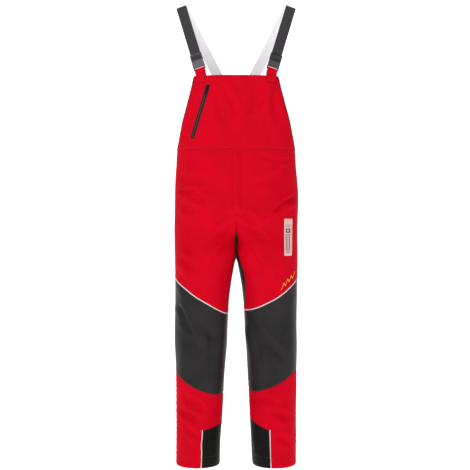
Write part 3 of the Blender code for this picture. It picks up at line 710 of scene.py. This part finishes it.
def stitches(name, paths, material, length=0.0032, gap=0.0011, radius=0.00042):
    """Rows of separate sewn stitches along paths of (point, normal)."""
    verts, faces = [], []
    for path in paths:
        points = [point for point, _ in path]
        lengths = [0.0]
        for a, b in zip(points, points[1:]):
            lengths.append(lengths[-1] + (b - a).length)
        total = lengths[-1]

        def at(s):
            for k in range(1, len(lengths)):
                if s <= lengths[k] or k == len(lengths) - 1:
                    share = (s - lengths[k - 1]) / max(lengths[k] - lengths[k - 1], 1e-9)
                    return points[k - 1].lerp(points[k], share), path[k][1]

        for k in range(int(total / (length + gap))):
            start = k * (length + gap)
            rings = []
            for share, size in ((0.0, 0.45), (0.3, 1.0), (0.7, 1.0), (1.0, 0.45)):
                here, normal = at(start + share * length)
                ahead, _ = at(min(total, start + share * length + 0.0004))
                along = (ahead - here).normalized() if (ahead - here).length > 1e-7 else Vector((0, 0, 1))
                sideways = along.cross(normal).normalized()
                rings.append([
                    here + radius * size * (sideways * cu + normal * cn)
                    for cu, cn in ((1, 0.1), (0.5, 0.9), (-0.5, 0.9), (-1, 0.1), (0, -0.6))
                ])
            add_bar(verts, faces, rings)
    return new_object(name, verts, faces, [material])


# ---- Sewn panels ----
PANELS = []


def panel_named(name):
    return next(panel for panel in PANELS if panel.name == name)


def seam_side(h):
    """The place of the side seam, a little behind the middle from the thigh down."""
    return mix(OUTSEAM, SIDE_SEAM, ease((h - 0.80) / 0.10))


def hip_blend(obj, side):
    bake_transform(obj)


def knee_blend(obj, side):
    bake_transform(obj)


def riding(body):
    return lambda obj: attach(obj, body)


torso = riding("torso")


def dress(obj, slot, seat, *nodes):
    """Hides the solids that a piece stands for and seats it on what it moves with; its material slot is not
    used.
    """
    if nodes:
        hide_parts(*nodes)
    seat(obj)


def finish_panel(obj, nodes, slot, seat):
    PANELS.append(obj)
    dress(obj, slot, seat, *nodes)


def over_kick(reaches_hem, t, h, side):
    """Rows of a lower leg panel: over the kick patch the lowest ones are pressed together."""
    if reaches_hem or h > KICK_CLEAR_H:
        return h
    return mix(kick_top(t, side), KICK_CLEAR_H, h / KICK_CLEAR_H)


def leg_panels(word, side):
    def front_leg(u, v):
        h = mix(knee_top(u * 0.5, side), WAIST_H, v)
        t = mix(gusset_front(h, side), seam_side(h), u)
        return body_point(t, mix(knee_top(t, side), WAIST_H, v), side)

    def seat(u, v):
        h = mix(BACK_SEAM_H, WAIST_H - ELASTIC_H, v)
        return body_point(mix(seam_side(h), 1 + gusset_back(h, side), u), h, side)

    def gusset(u, v):
        h = mix(knee_top(0.0, side), GUSSET_TOP_H, v)
        return body_point(mix(gusset_back(h, side), gusset_front(h, side), u), h, side)

    def knee(u, v):
        t = mix(INSEAM[side], OUTSEAM, u)
        return body_point(t, mix(knee_bottom(t, side), knee_top(t, side), v), side)

    def calf(u, v):
        t = mix(OUTSEAM, 1 + INSEAM[side], u)
        h = over_kick(t < KICK_BACK, t, BACK_SEAM_H * v, side)
        return body_point(mix(OUTSEAM, 1 + gusset_back(h, side), u), h, side)

    def shin(u, v):
        t = mix(INSEAM[side], OUTSEAM, u)
        return body_point(t, over_kick(t > KICK_FRONT, t, knee_bottom(t, side) * v, side), side)

    def kick(u, v):
        t = mix(KICK_BACK - 1, KICK_FRONT, u)
        return body_point(t, mix(HEM_H, kick_top(t, side), v), side)

    hips, knees = partial(hip_blend, side=side), partial(knee_blend, side=side)
    shins = riding(f"shin_{word}")
    red, black = (RED, LINING), (BLACK, LINING)

    def panel(stem, point, size, cloths, nodes, seat, **more):
        made = cloth(f"{stem}_cloth_{word}", point, size, cloths, side, **more)
        slot = "red_shell" if cloths is red else "black_shell"
        finish_panel(made, [f"{node}_{word}" for node in nodes], slot, seat)

    panel(
        "front_leg", front_leg, (0.36, 0.50), red, ("front_hip_panel", "front_thigh_panel"), hips,
        meets=True,
    )
    panel("seat_and_thigh", seat, (0.36, 0.48), red, ("seat_panel", "back_thigh_panel"), hips, meets=True)
    panel(
        "gusset", gusset, (0.07, 0.30), black, ("inner_thigh_gusset",), hips,
        spacing=0.0050, folds=0.3, meets=True,
    )
    panel("knee", knee, (0.27, 0.25), black, ("knee_panel_upper", "knee_panel_lower"), knees)
    corner = (KICK_BACK - OUTSEAM) / (1 + INSEAM[side] - OUTSEAM)
    panel("calf", calf, (0.27, 0.50), red, ("calf_panel",), knees, extra=(corner,))
    corner = (KICK_FRONT - INSEAM[side]) / (OUTSEAM - INSEAM[side])
    panel("shin", shin, (0.26, 0.30), red, ("shin_panel",), shins, extra=(corner,))
    panel("kick", kick, (0.22, 0.135), (KICK, LINING), ("kick_patch",), shins, spacing=0.006)


def bib(u, v):
    h = mix(WAIST_H, BIB_TOP_H, v)
    return across((2 * u - 1) * polyline(BIB_EDGE_X, h), h)


def yoke(u, v):
    h = mix(WAIST_H, BACK_TOP_H, v)
    return across((1 - 2 * u) * polyline(YOKE_EDGE_X, h), h, back=True)


def elastic(u, v):
    h = mix(WAIST_H - ELASTIC_H, WAIST_H, v)
    return across((1 - 2 * u) * 0.9995 * station(OUTER_X, h), h, back=True)


def elastic_ribs(base, uv):
    phase = uv[:, :, 0] * 2 * math.pi / 0.0085
    rows = 0.6 + 0.4 * np.cos(uv[:, :, 1] * 2 * math.pi / 0.0100)
    return 0.0011 * np.sin(phase) * rows


def placket(u, v):
    h = mix(0.840, WAIST_H - 0.0008, v)
    front = body_point(0.0, h, LEFT)
    return Vector((mix(-0.0150 + 0.0040 * (1 - v), 0.0230, u), front.y, front.z))


def placket_arch(base, uv):
    """The flap has one free edge over the zip; its other edges run into the cloth around it."""
    u = uv[:, :, 0] / uv[:, :, 0].max()
    v = uv[:, :, 1] / uv[:, :, 1].max()
    free = np.clip(u / 0.22, 0, 1)
    sewn = eased((1 - u) / 0.62)
    ends = eased(np.clip(v / 0.14, 0, 1) * np.clip((1 - v) / 0.10, 0, 1))
    step = np.where(v < 0.80, 0.16, 0.0)
    return -0.0004 + (0.0088 - 0.0022 * v) * (step + (1 - step) * free**0.7) * sewn * ends


for word, side in SIDES:
    leg_panels(word, side)

made = cloth("bib_cloth", bib, (0.39, 0.25), (RED, LINING))
finish_panel(made, ("bib_front_panel",), "red_shell", torso)
made = cloth("yoke_cloth", yoke, (0.40, 0.18), (RED, LINING))
finish_panel(made, ("back_yoke",), "red_shell", torso)
made = cloth(
    "waist_elastic_cloth_band", elastic, (0.52, 0.040), (ELASTIC, LINING), spacing=0.0018,
    folds=0.3, more=elastic_ribs, held="gathered",
)
finish_panel(made, ("waist_elastic",), "black_shell", torso)
made = cloth(
    "fly_placket_cloth", placket, (0.030, 0.19), (RED, LINING), spacing=0.0022, thick=0.0012,
    roll=0.0006, folds=0.6, more=placket_arch,
)
finish_panel(made, ("fly_placket",), "red_shell", torso)

# ---- Braces ----
WEBBING = 0.035
WEBBING_THICK = 0.0016
TAB_WIDTH = 0.0342
TAB_THICK = 0.0012
TAB_LOOP = 0.0040
BAR_AT = (0.1190, -0.1000, 1.3150)
STRAP_SLOPE = (0.0755, 0.115, 0.2543)
SHOULDER_AT = (0.1945, 0.0150, 1.5693)
SHOULDER_RADIUS = 0.012
BACK_END_X = 0.0230
BACK_BEND_H = 1.2480
BACK_END_H = 1.1900
STRAP_BEHIND = 0.0048
SOCKET_MOUTH = 0.0295
YOKE_OUTSET = 0.0014


def side_vector(values, side):
    return Vector((side * values[0], values[1], values[2]))


def axes(origin, up, outward):
    """A matrix whose Y axis is up and whose Z axis is as near outward as it can be."""
    y = Vector(up).normalized()
    z = (Vector(outward) - y * Vector(outward).dot(y)).normalized()
    made = Matrix((y.cross(z), y, z)).transposed().to_4x4()
    made.translation = Vector(origin)
    return made


def buckle_axes(side):
    up = side_vector(STRAP_SLOPE, side).normalized()
    return axes(place(side * BAR_AT[0], BAR_AT[1], BAR_AT[2]), up, (side * 0.10, -1.0, 0.0))


def yoke_point(x, h, outset):
    here = across(x, h, back=True)
    return Vector((x, here.y + outset, h - HANG_HEIGHT))


def brace_stops(side):
    """The brace's (point, width direction, outward direction) from the buckle to the back patch."""
    buckle = buckle_axes(side)
    front = side_vector(STRAP_SLOPE, side).normalized()
    width_way, _, outward = (buckle.to_3x3().col[k].copy() for k in range(3))
    corner = place(side * SHOULDER_AT[0], SHOULDER_AT[1], SHOULDER_AT[2]) - outward * STRAP_BEHIND
    bend = yoke_point(side * BACK_END_X, BACK_BEND_H, YOKE_OUTSET)
    end = yoke_point(side * BACK_END_X, BACK_END_H, YOKE_OUTSET)
    back = (bend - corner).normalized()
    turn = front.angle(back)
    tangent = SHOULDER_RADIUS * math.tan(turn / 2)
    inward = (back - front * back.dot(front)).normalized()
    centre = corner - front * tangent + inward * SHOULDER_RADIUS
    start = buckle @ Vector((0, SOCKET_MOUTH + 0.006, -STRAP_BEHIND))
    arc_start = corner - front * tangent
    stops = [(start.lerp(arc_start, k / 30), width_way, outward) for k in range(30)]
    for k in range(17):
        a = turn * k / 16
        away = front * math.sin(a) - inward * math.cos(a)
        stops.append((centre + away * SHOULDER_RADIUS, width_way, away))
    arc_end = stops[-1][0]
    along_back = (width_way - back * width_way.dot(back)).normalized()
    flat = Vector((1, 0, 0))
    for k in range(1, 31):
        way = along_back.lerp(flat, ease((k - 24) / 6))
        away = way.cross(back).normalized()
        stops.append((arc_end.lerp(bend, k / 30), way, away if away.y > 0 else -away))
    for k in range(1, 7):
        stops.append((bend.lerp(end, k / 6), flat, Vector((0, 1, 0))))
    return stops


def ribbon(name, stops, width, thick, materials, columns=12):
    """A woven band through the stops, with rounded selvedges."""
    us = [0.5 - 0.5 * math.cos(math.pi * k / columns) for k in range(columns + 1)]
    outer, inner = [], []
    for here, way, away in stops:
        way, away = way.normalized(), away.normalized()
        halves = [thick / 2 * math.sqrt(max(0.02, 1 - abs(2 * u - 1) ** 10)) for u in us]
        middles = [here + way * width * (u - 0.5) for u in us]
        outer.append([tuple(middle + away * half) for middle, half in zip(middles, halves)])
        inner.append([tuple(middle - away * half) for middle, half in zip(middles, halves)])
    outer, inner = np.array(outer), np.array(inner)
    facing = normals_of(outer)[len(stops) // 2, columns // 2]
    if np.dot(facing, np.array(stops[len(stops) // 2][2])) < 0:
        outer, inner = outer[:, ::-1], inner[:, ::-1]
    return layer_shell(name, outer, inner, materials, arc_uv(outer))


def band(name, stops, width, thick, materials, held, slot, body, *nodes):
    """A ribbon as a whole piece, seated on the body it moves with."""
    obj = ribbon(name, stops, width, thick, materials)
    dress(obj, slot, riding(body), *nodes)


def tab_rows(side, inside):
    """The part of the tab on the front of the bib, or behind it."""
    rows = []
    x = side * (BAR_AT[0] - 0.004)
    sign = -1 if inside else 1
    depth = -(CLOTH + 0.0030) if inside else 0.0022
    for k in range(7):
        h = BIB_TOP_H - 0.022 + 0.024 * k / 6
        low = min(h, BIB_TOP_H)
        slope = (across(x + 0.01, low) - across(x - 0.01, low)).normalized()
        away = Vector((slope.y, -slope.x, 0)).normalized()
        base = across(x, low) + away * depth
        rows.append((Vector((base.x, base.y, h - HANG_HEIGHT)), slope, away * sign))
    return rows


def tab_stops(side):
    buckle = buckle_axes(side)
    spin = buckle.to_3x3()
    stops = tab_rows(side, False)
    loop = []
    for k in range(13):
        a = math.pi * k / 12
        away = Vector((0, math.sin(a), math.cos(a)))
        loop.append((buckle @ (away * TAB_LOOP), spin @ Vector((1, 0, 0)), spin @ away))
    return stops + loop + list(reversed(tab_rows(side, True)))


def wrap_stops(side):
    """Where the webbing goes through the adjuster and over its middle bar."""
    buckle = buckle_axes(side)
    spin = buckle.to_3x3()
    low = SOCKET_MOUTH + 0.0006
    path = (
        (0.0272, -0.0034), (0.0252, -0.0026), (0.0240, 0.0000), (0.0233, 0.0022), (0.0215, 0.0032),
        (0.0165, 0.0035), (0.0115, 0.0032), (0.0097, 0.0022), (0.0090, 0.0000), (0.0084, -0.0024),
        (0.0066, -0.0034),
    )
    stops = []
    for k, (y, z) in enumerate(path):
        (y0, z0), (y1, z1) = path[max(0, k - 1)], path[min(len(path) - 1, k + 1)]
        away = -Vector((0, -(z1 - z0), y1 - y0)).normalized()
        stops.append((buckle @ Vector((0, low + y, z)), spin @ Vector((1, 0, 0)), spin @ away))
    return stops


def lighten(stops, weight):
    """Smooths a row of stops, keeping its ends."""
    for _ in range(weight):
        fresh = [stops[0]]
        for a, b, c in zip(stops, stops[1:], stops[2:]):
            fresh.append((
                b[0] * 0.5 + (a[0] + c[0]) * 0.25,
                (b[1] * 0.5 + (a[1] + c[1]) * 0.25).normalized(),
                (b[2] * 0.5 + (a[2] + c[2]) * 0.25).normalized(),
            ))
        fresh.append(stops[-1])
        stops = fresh
    return stops


for word, side in SIDES:
    band(
        f"brace_webbing_{word}", brace_stops(side), WEBBING, WEBBING_THICK, (WEB_DARK, WEB_PALE),
        "hung", "black_webbing", "torso", f"shoulder_brace_{word}",
    )
    band(
        f"tab_cloth_{word}", lighten(tab_stops(side), 2), TAB_WIDTH, TAB_THICK, (RED, RED),
        "folded", "red_shell", "torso", f"strap_tab_{word}",
    )
    band(
        f"brace_wrap_{word}", wrap_stops(side), WEBBING - 0.0006, WEBBING_THICK, (WEB_DARK, WEB_DARK),
        "folded", "black_webbing", f"prong_{word}",
    )


# ---- Moulded solids, with eased edges ----
def ease_edges(node, material, radius):
    solid = frame["nodes"][node]
    solid.data.materials.clear()
    solid.data.materials.append(material)
    bevel = solid.modifiers.new("eased_edges", "BEVEL")
    bevel.width = radius
    bevel.segments = 2
    bevel.limit_method = "ANGLE"
    bevel.angle_limit = math.radians(35)


for word, side in SIDES:
    ease_edges(f"buckle_socket_{word}", BUCKLE, 0.0007)
    ease_edges(f"buckle_prong_{word}", BUCKLE_DARK, 0.0007)
    ease_edges(f"buckle_arm_inner_{word}", BUCKLE_DARK, 0.0004)
    ease_edges(f"buckle_arm_outer_{word}", BUCKLE_DARK, 0.0004)


# ---- Zips ----
TAPE_WIDTH = 0.0120
TAPE_THICK = 0.0010
TAPE_OUTSET = 0.0010
TOOTH_PITCH = 0.0019


def chest_zip_path(v, aside):
    (x0, h0), (x1, h1) = CHEST_ZIP
    slant = math.atan2(x0 - x1, h0 - h1)
    x = mix(x0, x1, v) + aside * math.cos(slant)
    return across(x, mix(h0, h1, v) - aside * math.sin(slant))


def side_zip_path(side):
    def path(v, aside):
        return body_point(SIDE_ZIP_T + side * aside / ZIP_TURN, mix(SIDE_ZIP[0], SIDE_ZIP[1], v), side)

    return path


def fly_path(v, aside):
    front = body_point(0.0, mix(FLY[0], FLY[1], v), LEFT)
    return Vector((aside, front.y, front.z))


def zip_axes(path, v):
    toward = path(v - 0.02, 0.0) - path(v + 0.02, 0.0)
    sideways = path(v, 0.004) - path(v, -0.004)
    return axes(path(v, 0.0), toward, sideways.cross(toward))


def zip_tape(name, path, length):
    """The two tapes, with a groove between them under the coil."""
    vs = spread(length, 0.004)
    us = (0.0, 0.04, 0.12, 0.30, 0.45, 0.485, 0.515, 0.55, 0.70, 0.88, 0.96, 1.0)
    outer, inner = [], []
    for v in vs:
        turn = zip_axes(path, v).to_3x3()
        top, under = [], []
        for u in us:
            groove = -0.0005 if abs(u - 0.5) < 0.02 else 0.0
            edge = -0.0005 if u in (0.0, 1.0) else 0.0
            lift = Vector((0, 0, TAPE_OUTSET + TAPE_THICK + groove + edge))
            base = path(v, (u - 0.5) * TAPE_WIDTH)
            top.append(tuple(base + turn @ lift))
            under.append(tuple(base + turn @ Vector((0, 0, TAPE_OUTSET * 0.3))))
        outer.append(top)
        inner.append(under)
    outer, inner = np.array(outer)[::-1], np.array(inner)[::-1]
    return layer_shell(name, outer, inner, (ZIP_TAPE,), arc_uv(outer))


def zip_teeth(name, path, length):
    """Interlocked turns of a coil: a short bar from each side in turn."""
    verts, faces = [], []
    count = int((length - 0.008) / TOOTH_PITCH)
    for k in range(count * 2):
        at = zip_axes(path, (0.004 + (k + 0.5) * TOOTH_PITCH / 2) / length)
        way = 1 if k % 2 else -1
        rings = []
        for x, size in ((-0.0022, 0.7), (-0.0017, 1.0), (0.0007, 1.0), (0.0012, 0.7)):
            wide, tall = TOOTH_PITCH * 0.21 * size, 0.0009 * size
            rings.append([
                at @ Vector((way * x, cy * wide, TAPE_OUTSET + TAPE_THICK + cz * tall))
                for cy, cz in ((-1, 0), (-0.8, 0.8), (0, 1), (0.8, 0.8), (1, 0))
            ])
        add_bar(verts, faces, rings, flip=way > 0)
    return new_object(name, verts, faces, [ZIP_TEETH])


def full_zip(name, node, path):
    """A zip's tape and coil; gives back the rows of stitches beside the coil."""
    length = (path(0, 0) - path(1, 0)).length
    tape = zip_tape(name + "_tape_cloth", path, length)
    dress(tape, "zip_black", torso, node)
    dress(zip_teeth(name + "_coil", path, length), "zip_black", torso)
    rows = []
    for aside in (-1, 1):
        row = []
        for v in steps(0, 1, 40):
            out = zip_axes(path, v).to_3x3().col[2].copy()
            row.append((path(v, aside * TAPE_WIDTH * 0.42) + out * (TAPE_OUTSET + TAPE_THICK), out))
        rows.append(row)
    return rows


zip_rows = full_zip("chest_zip", "chest_zip_tape", chest_zip_path)
zip_rows += full_zip("fly_zip", "fly_zip_tape", fly_path)
for word, side in SIDES:
    zip_rows += full_zip(f"side_zip_{word}", f"side_zip_tape_{word}", side_zip_path(side))
dress(stitches("zip_stitching", zip_rows, THREAD_BLACK, 0.0022, 0.0009, 0.0003), "zip_black", torso)

for node in frame["nodes"]:
    if "zip_slider" in node or "zip_puller" in node:
        ease_edges(node, ZIP_METAL, 0.0003)


# ---- Things laid on the cloth ----
class Cloths:
    """The finished panels as one surface that trims can be laid on."""

    def __init__(self, panels):
        verts, faces = [], []
        for panel in panels:
            mesh = panel.data
            base = len(verts)
            verts.extend(v.co.copy() for v in mesh.vertices)
            half = len(mesh.vertices) // 2
            faces.extend(
                tuple(base + i for i in p.vertices) for p in mesh.polygons if max(p.vertices) < half
            )
        self.tree = BVHTree.FromPolygons(verts, faces)

    def at(self, point, lift=0.0):
        found, normal, _, _ = self.tree.find_nearest(point)
        return found + normal * lift, normal


def sew(name, cloths, seams, thread, slot, seat):
    """Stitches along seams, each a row of points, laid on the cloths."""
    rows = [[cloths.at(p, 0.0001) for p in points] for points in seams]
    dress(stitches(name, rows, thread), slot, seat)


def leg_trims(word, side):
    front, seat, knee, calf, shin, kick = (
        panel_named(f"{stem}_cloth_{word}")
        for stem in ("front_leg", "seat_and_thigh", "knee", "calf", "shin", "kick")
    )
    lower = Cloths([calf, shin, knee, kick])
    hips, knees = partial(hip_blend, side=side), partial(knee_blend, side=side)

    def around(low, high, height, count=90):
        """A seam round the leg, from place low to place high, at height(t)."""
        return [body_point(t, height(t), side) for t in steps(low, high, count)]

    def upward(low, high, at, count=90):
        """A seam up the leg, from height low to height high, at place at(h)."""
        return [body_point(at(h), h, side) for h in steps(low, high, count)]

    def top(t):
        return knee_top(t, side)

    def bottom(t):
        return knee_bottom(t, side)

    sew(f"thigh_stitching_{word}", Cloths([front, seat]), [
        around(0.06, 0.505, lambda t: top(t) + 0.0035),
        around(0.06, 0.505, lambda t: top(t) + 0.0085),
        around(0.52, 1.01, lambda t: BACK_SEAM_H + 0.0040),
        upward(0.54, 1.0, lambda h: seam_side(h) + 0.007),
        around(0.02, 0.49, lambda t: WAIST_H - 0.0045),
        upward(0.76, 1.005, lambda h: 0.988, 60),
    ], THREAD_RED, "red_shell", hips)
    sew(f"shin_stitching_{word}", lower, [
        around(0.055, 0.50, lambda t: bottom(t) - 0.0040),
        around(0.055, 0.50, lambda t: bottom(t) - 0.0085),
        around(0.52, 1.03, lambda t: BACK_SEAM_H - 0.0045),
        upward(0.002, 0.525, lambda h: 0.518, 110),
        around(KICK_FRONT + 0.008, KICK_BACK - 0.005, lambda t: HEM_STITCH_H, 120),
    ], THREAD_RED, "red_shell", knees)
    sew(f"knee_stitching_{word}", lower, [
        around(0.055, 0.50, lambda t: bottom(t) + 0.0040),
        around(0.06, 0.50, lambda t: top(t) - 0.0050),
        around(-0.195, 0.215, lambda t: kick_top(t, side) - 0.0035, 60),
        around(-0.195, 0.215, lambda t: HEM_STITCH_H, 60),
        upward(0.002, 0.124, lambda h: 0.215, 40),
    ], THREAD_BLACK, "black_shell", knees)

    def piping(stem, edge, cloths, lift, rounds, radius, body):
        points = [cloths.at(p, lift)[0] for p in edge]
        for _ in range(rounds):
            points = relaxed(points)
        cord = tube(f"{stem}_piping_cord_{word}", points, radius, PIPING)
        dress(cord, "white_piping", riding(f"{body}_{word}"), f"{stem}_piping_{word}")

    piping(
        "knee", around(INSEAM[side] + 0.002, 0.509, top, 81), Cloths([front, knee]),
        0.0008, 3, 0.0019, "thigh",
    )
    piping(
        "ankle", upward(0.001, 0.127, lambda h: KICK_FRONT - 0.001, 31), Cloths([shin, kick]),
        0.0009, 8, 0.0016, "shin",
    )


for word, side in SIDES:
    leg_trims(word, side)


def torso_trims():
    def edge_row(edge_x, way, high, back):
        """A row 8 mm inside a slanting edge."""
        heights = steps(WAIST_H + 0.006, high, 70)
        return [across(way * (polyline(edge_x, h) - 0.008), h, back) for h in heights]

    def level_row(reach, h, count, back=False):
        return [across(x, h, back) for x in steps(-reach, reach, count)]

    seams = [edge_row(BIB_EDGE_X, way, BIB_TOP_H - 0.004, False) for way in (1, -1)]
    seams += [edge_row(YOKE_EDGE_X, way, BACK_TOP_H - 0.005, True) for way in (1, -1)]
    h = BIB_TOP_H - 0.0165
    seams.append(level_row(polyline(BIB_EDGE_X, h) - 0.004, h, 90))
    seams += [level_row(0.196, WAIST_H + rise, 120) for rise in (0.0040, 0.0085)]
    seams.append(level_row(0.196, WAIST_H + 0.004, 120, True))
    seams.append(level_row(polyline(YOKE_EDGE_X, BACK_TOP_H) - 0.004, BACK_TOP_H - 0.012, 40, True))
    aside, past_end = 0.0085, 0.03
    for x in (-aside, aside):
        seams.append([chest_zip_path(v, x) for v in steps(-past_end, 1 + past_end, 60)])
    for v in (-past_end, 1 + past_end):
        seams.append([chest_zip_path(v, x) for x in steps(-aside, aside, 8)])
    over = Cloths([panel_named("bib_cloth"), panel_named("yoke_cloth")])
    sew("torso_stitching", over, seams, THREAD_RED, "red_shell", torso)


torso_trims()


def bib_binding():
    """A dark bound edge down both sides of the bib."""
    over = Cloths([panel_named("bib_cloth")])
    for word, side in SIDES:
        points = []
        for h in steps(WAIST_H + 0.002, BIB_TOP_H - 0.003, 70):
            points.append(over.at(across(side * (polyline(BIB_EDGE_X, h) - 0.0006), h), -0.0003)[0])
        dress(tube(f"bib_binding_{word}", points, 0.0019, BINDING), "red_shell", torso)


bib_binding()


PATCH_H = (1.1800, 1.2420)
PATCH_X = 0.0440
POCKET_H = (1.0750, 1.2660)


def patch_cloth():
    """The patch where the two braces meet at the back, with a sewn border and cross."""
    def point(u, v):
        h = mix(*PATCH_H, v)
        return Vector((mix(PATCH_X, -PATCH_X, u), across(0.0, h, back=True).y, h - HANG_HEIGHT))

    obj = cloth(
        "brace_patch_cloth", point, (0.088, 0.062), (BLACK, BLACK), spacing=0.0035, thick=0.0010,
        roll=0.0007, folds=0, lift=0.0046, held="laid",
    )
    finish_panel(obj, ("brace_patch",), "black_shell", torso)
    a, b, c, d = (0.05, 0.07), (0.95, 0.07), (0.95, 0.93), (0.05, 0.93)
    seams = []
    for (u0, v0), (u1, v1) in ((a, b), (b, c), (c, d), (d, a), (a, c), (d, b)):
        shares = steps(0, 1, 16)
        seams.append([point(mix(u0, u1, s), mix(v0, v1, s)) + Vector((0, 0.005, 0)) for s in shares])
    sew("brace_patch_stitching", Cloths([obj]), seams, THREAD_BLACK, "black_shell", torso)


patch_cloth()


def pocket_cloth():
    def point(u, v):
        h = mix(*POCKET_H, v)
        return across(mix(-polyline(BIB_EDGE_X, h) + 0.006, -0.030, u), h)

    obj = cloth(
        "chest_pocket_cloth", point, (0.13, 0.19), (LINING, LINING), thick=0.0008, folds=0.4,
        lift=-(CLOTH + 0.0040), spacing=0.009,
    )
    finish_panel(obj, ("chest_pocket_bag",), "grey_lining", torso)


pocket_cloth()


# ---- The label and the embroidery on the left thigh ----
LABEL_H = (0.7020, 0.8240)
LABEL_X = (0.1580, 0.1832)


def left_thigh_place(x, h):
    low, high = 0.25, 0.5
    for _ in range(30):
        t = (low + high) / 2
        if body_point(t, h, LEFT).x < x:
            low = t
        else:
            high = t
    return t


def thigh_label():
    over = Cloths([panel_named("front_leg_cloth_left")])

    def laid(u, v, lift):
        h = mix(*LABEL_H, v)
        x = mix(*LABEL_X, u) + 0.002 * v
        return tuple(over.at(body_point(left_thigh_place(x, h), h, LEFT), lift)[0])

    outer, inner = (
        np.array([[laid(u, v, lift) for u in steps(0, 1, 9)] for v in steps(0, 1, 25)])
        for lift in (0.0009, 0.0002)
    )
    obj = layer_shell("printed_thigh_label", outer, inner, (LABEL,), arc_uv(outer))
    dress(obj, "label_white", partial(hip_blend, side=LEFT), "thigh_label")


# along the seam over the knee: place round the leg, rise over the seam
PEAKS = (
    (0.304, 0.020), (0.320, 0.034), (0.332, 0.022), (0.348, 0.037),
    (0.362, 0.023), (0.377, 0.035), (0.390, 0.023), (0.410, 0.038),
)


def embroidery():
    """A row of stitched peaks, in satin stitch, along the seam over the knee."""
    over = Cloths([panel_named("front_leg_cloth_left")])
    rows = []
    for (t0, r0), (t1, r1) in zip(PEAKS, PEAKS[1:]):
        for k in range(14):
            t, rise = mix(t0, t1, k / 14), mix(r0, r1, k / 14)
            low = body_point(t, knee_top(t, LEFT) + rise - 0.0026, LEFT)
            high = body_point(t + 0.0012, knee_top(t, LEFT) + rise + 0.0026, LEFT)
            rows.append([over.at(low, 0.0004), over.at((low + high) / 2, 0.0007), over.at(high, 0.0004)])
    obj = stitches("peak_embroidery", rows, THREAD_YELLOW, 0.0048, 0.0002, 0.00062)
    dress(obj, "thread_yellow", partial(hip_blend, side=LEFT), "thigh_embroidery")


thigh_label()
embroidery()


def tab_details():
    """A pale bound edge over the end of each tab, and the stitching that holds it."""
    rows = []
    for word, side in SIDES:
        stops = lighten(tab_stops(side), 2)

        def across_tab(index, share, lift):
            here, way, away = stops[index]
            reach = way.normalized() * TAB_WIDTH * share
            return [(here + reach * s + away * lift, away) for s in steps(-0.5, 0.5, 21)]

        points = [point for point, away in across_tab(9, 0.98, 0.0010)]
        dress(tube(f"tab_edging_{word}", points, 0.0011, PIPING, 6), "white_piping", torso)
        rows += [across_tab(0, 0.86, 0.0008), across_tab(4, 0.86, 0.0008)]
        for edge_side in (-0.43, 0.43):
            rows.append([
                (here + way.normalized() * TAB_WIDTH * edge_side + away * 0.0008, away)
                for here, way, away in stops[:5]
            ])
    dress(stitches("tab_stitching", rows, THREAD_RED), "red_shell", torso)


tab_details()

# ---- Camera, light and backdrop ----
CAMERA_AT = (-0.0037, -3.2, 0.77 - HANG_HEIGHT)
LENS_MM = 72.3
SENSOR_MM = 36
FLOOR_Z = -1.72


def camera():
    data = bpy.data.cameras.new("camera")
    data.lens = LENS_MM
    data.sensor_width = SENSOR_MM
    obj = bpy.data.objects.new("camera", data)
    bpy.context.scene.collection.objects.link(obj)
    obj.location = CAMERA_AT
    obj.rotation_euler = (math.pi / 2, 0, 0)
    bpy.context.scene.camera = obj


def area_light(name, at, target, size, energy):
    data = bpy.data.lights.new(name, "AREA")
    data.shape = "RECTANGLE"
    data.size, data.size_y = size
    data.energy = energy
    obj = bpy.data.objects.new(name, data)
    bpy.context.scene.collection.objects.link(obj)
    obj.location = at
    way = Vector(target) - Vector(at)
    obj.rotation_euler = way.to_track_quat("-Z", "Y").to_euler()


def backdrop():
    """A pale floor that curves up into a wall behind the object."""
    radius, wall_y, top, half = 1.6, 5.2, 7.0, 12.0
    profile = [(-12.0, FLOOR_Z), (wall_y - radius, FLOOR_Z)]
    for k in range(1, 17):
        a = math.pi / 2 * k / 16
        profile.append((wall_y - radius + radius * math.sin(a), FLOOR_Z + radius - radius * math.cos(a)))
    profile.append((wall_y, top))
    verts = [(x, y, z) for y, z in profile for x in (-half, half)]
    faces = [(2 * k, 2 * k + 1, 2 * k + 3, 2 * k + 2) for k in range(len(profile) - 1)]
    made = Nodes("pale_floor")
    made.surface(
        Base_Color=(0.95, 0.95, 0.95, 1),
        Roughness=0.9,
        Emission_Color=(1, 1, 1, 1),
        Emission_Strength=0.62,
    )
    obj = new_object("floor", verts, faces, [made.material])


def world():
    made = bpy.data.worlds.new("studio")
    made.use_nodes = True
    background = made.node_tree.nodes["Background"]
    background.inputs["Color"].default_value = (1, 1, 1, 1)
    background.inputs["Strength"].default_value = 0.30
    bpy.context.scene.world = made


camera()
world()
backdrop()
area_light("key", (-1.0, -2.3, 1.5), (0, 0, -0.75), (1.2, 1.2), 43)
area_light("fill", (1.9, -2.8, -0.6), (0, 0, -0.8), (1.4, 2.2), 10.5)
area_light("back", (0.0, 2.6, 0.8), (0, 0, -0.6), (2.4, 1.6), 22)
bpy.context.scene.view_settings.view_transform = "Standard"
bpy.context.scene.view_settings.look = "None"
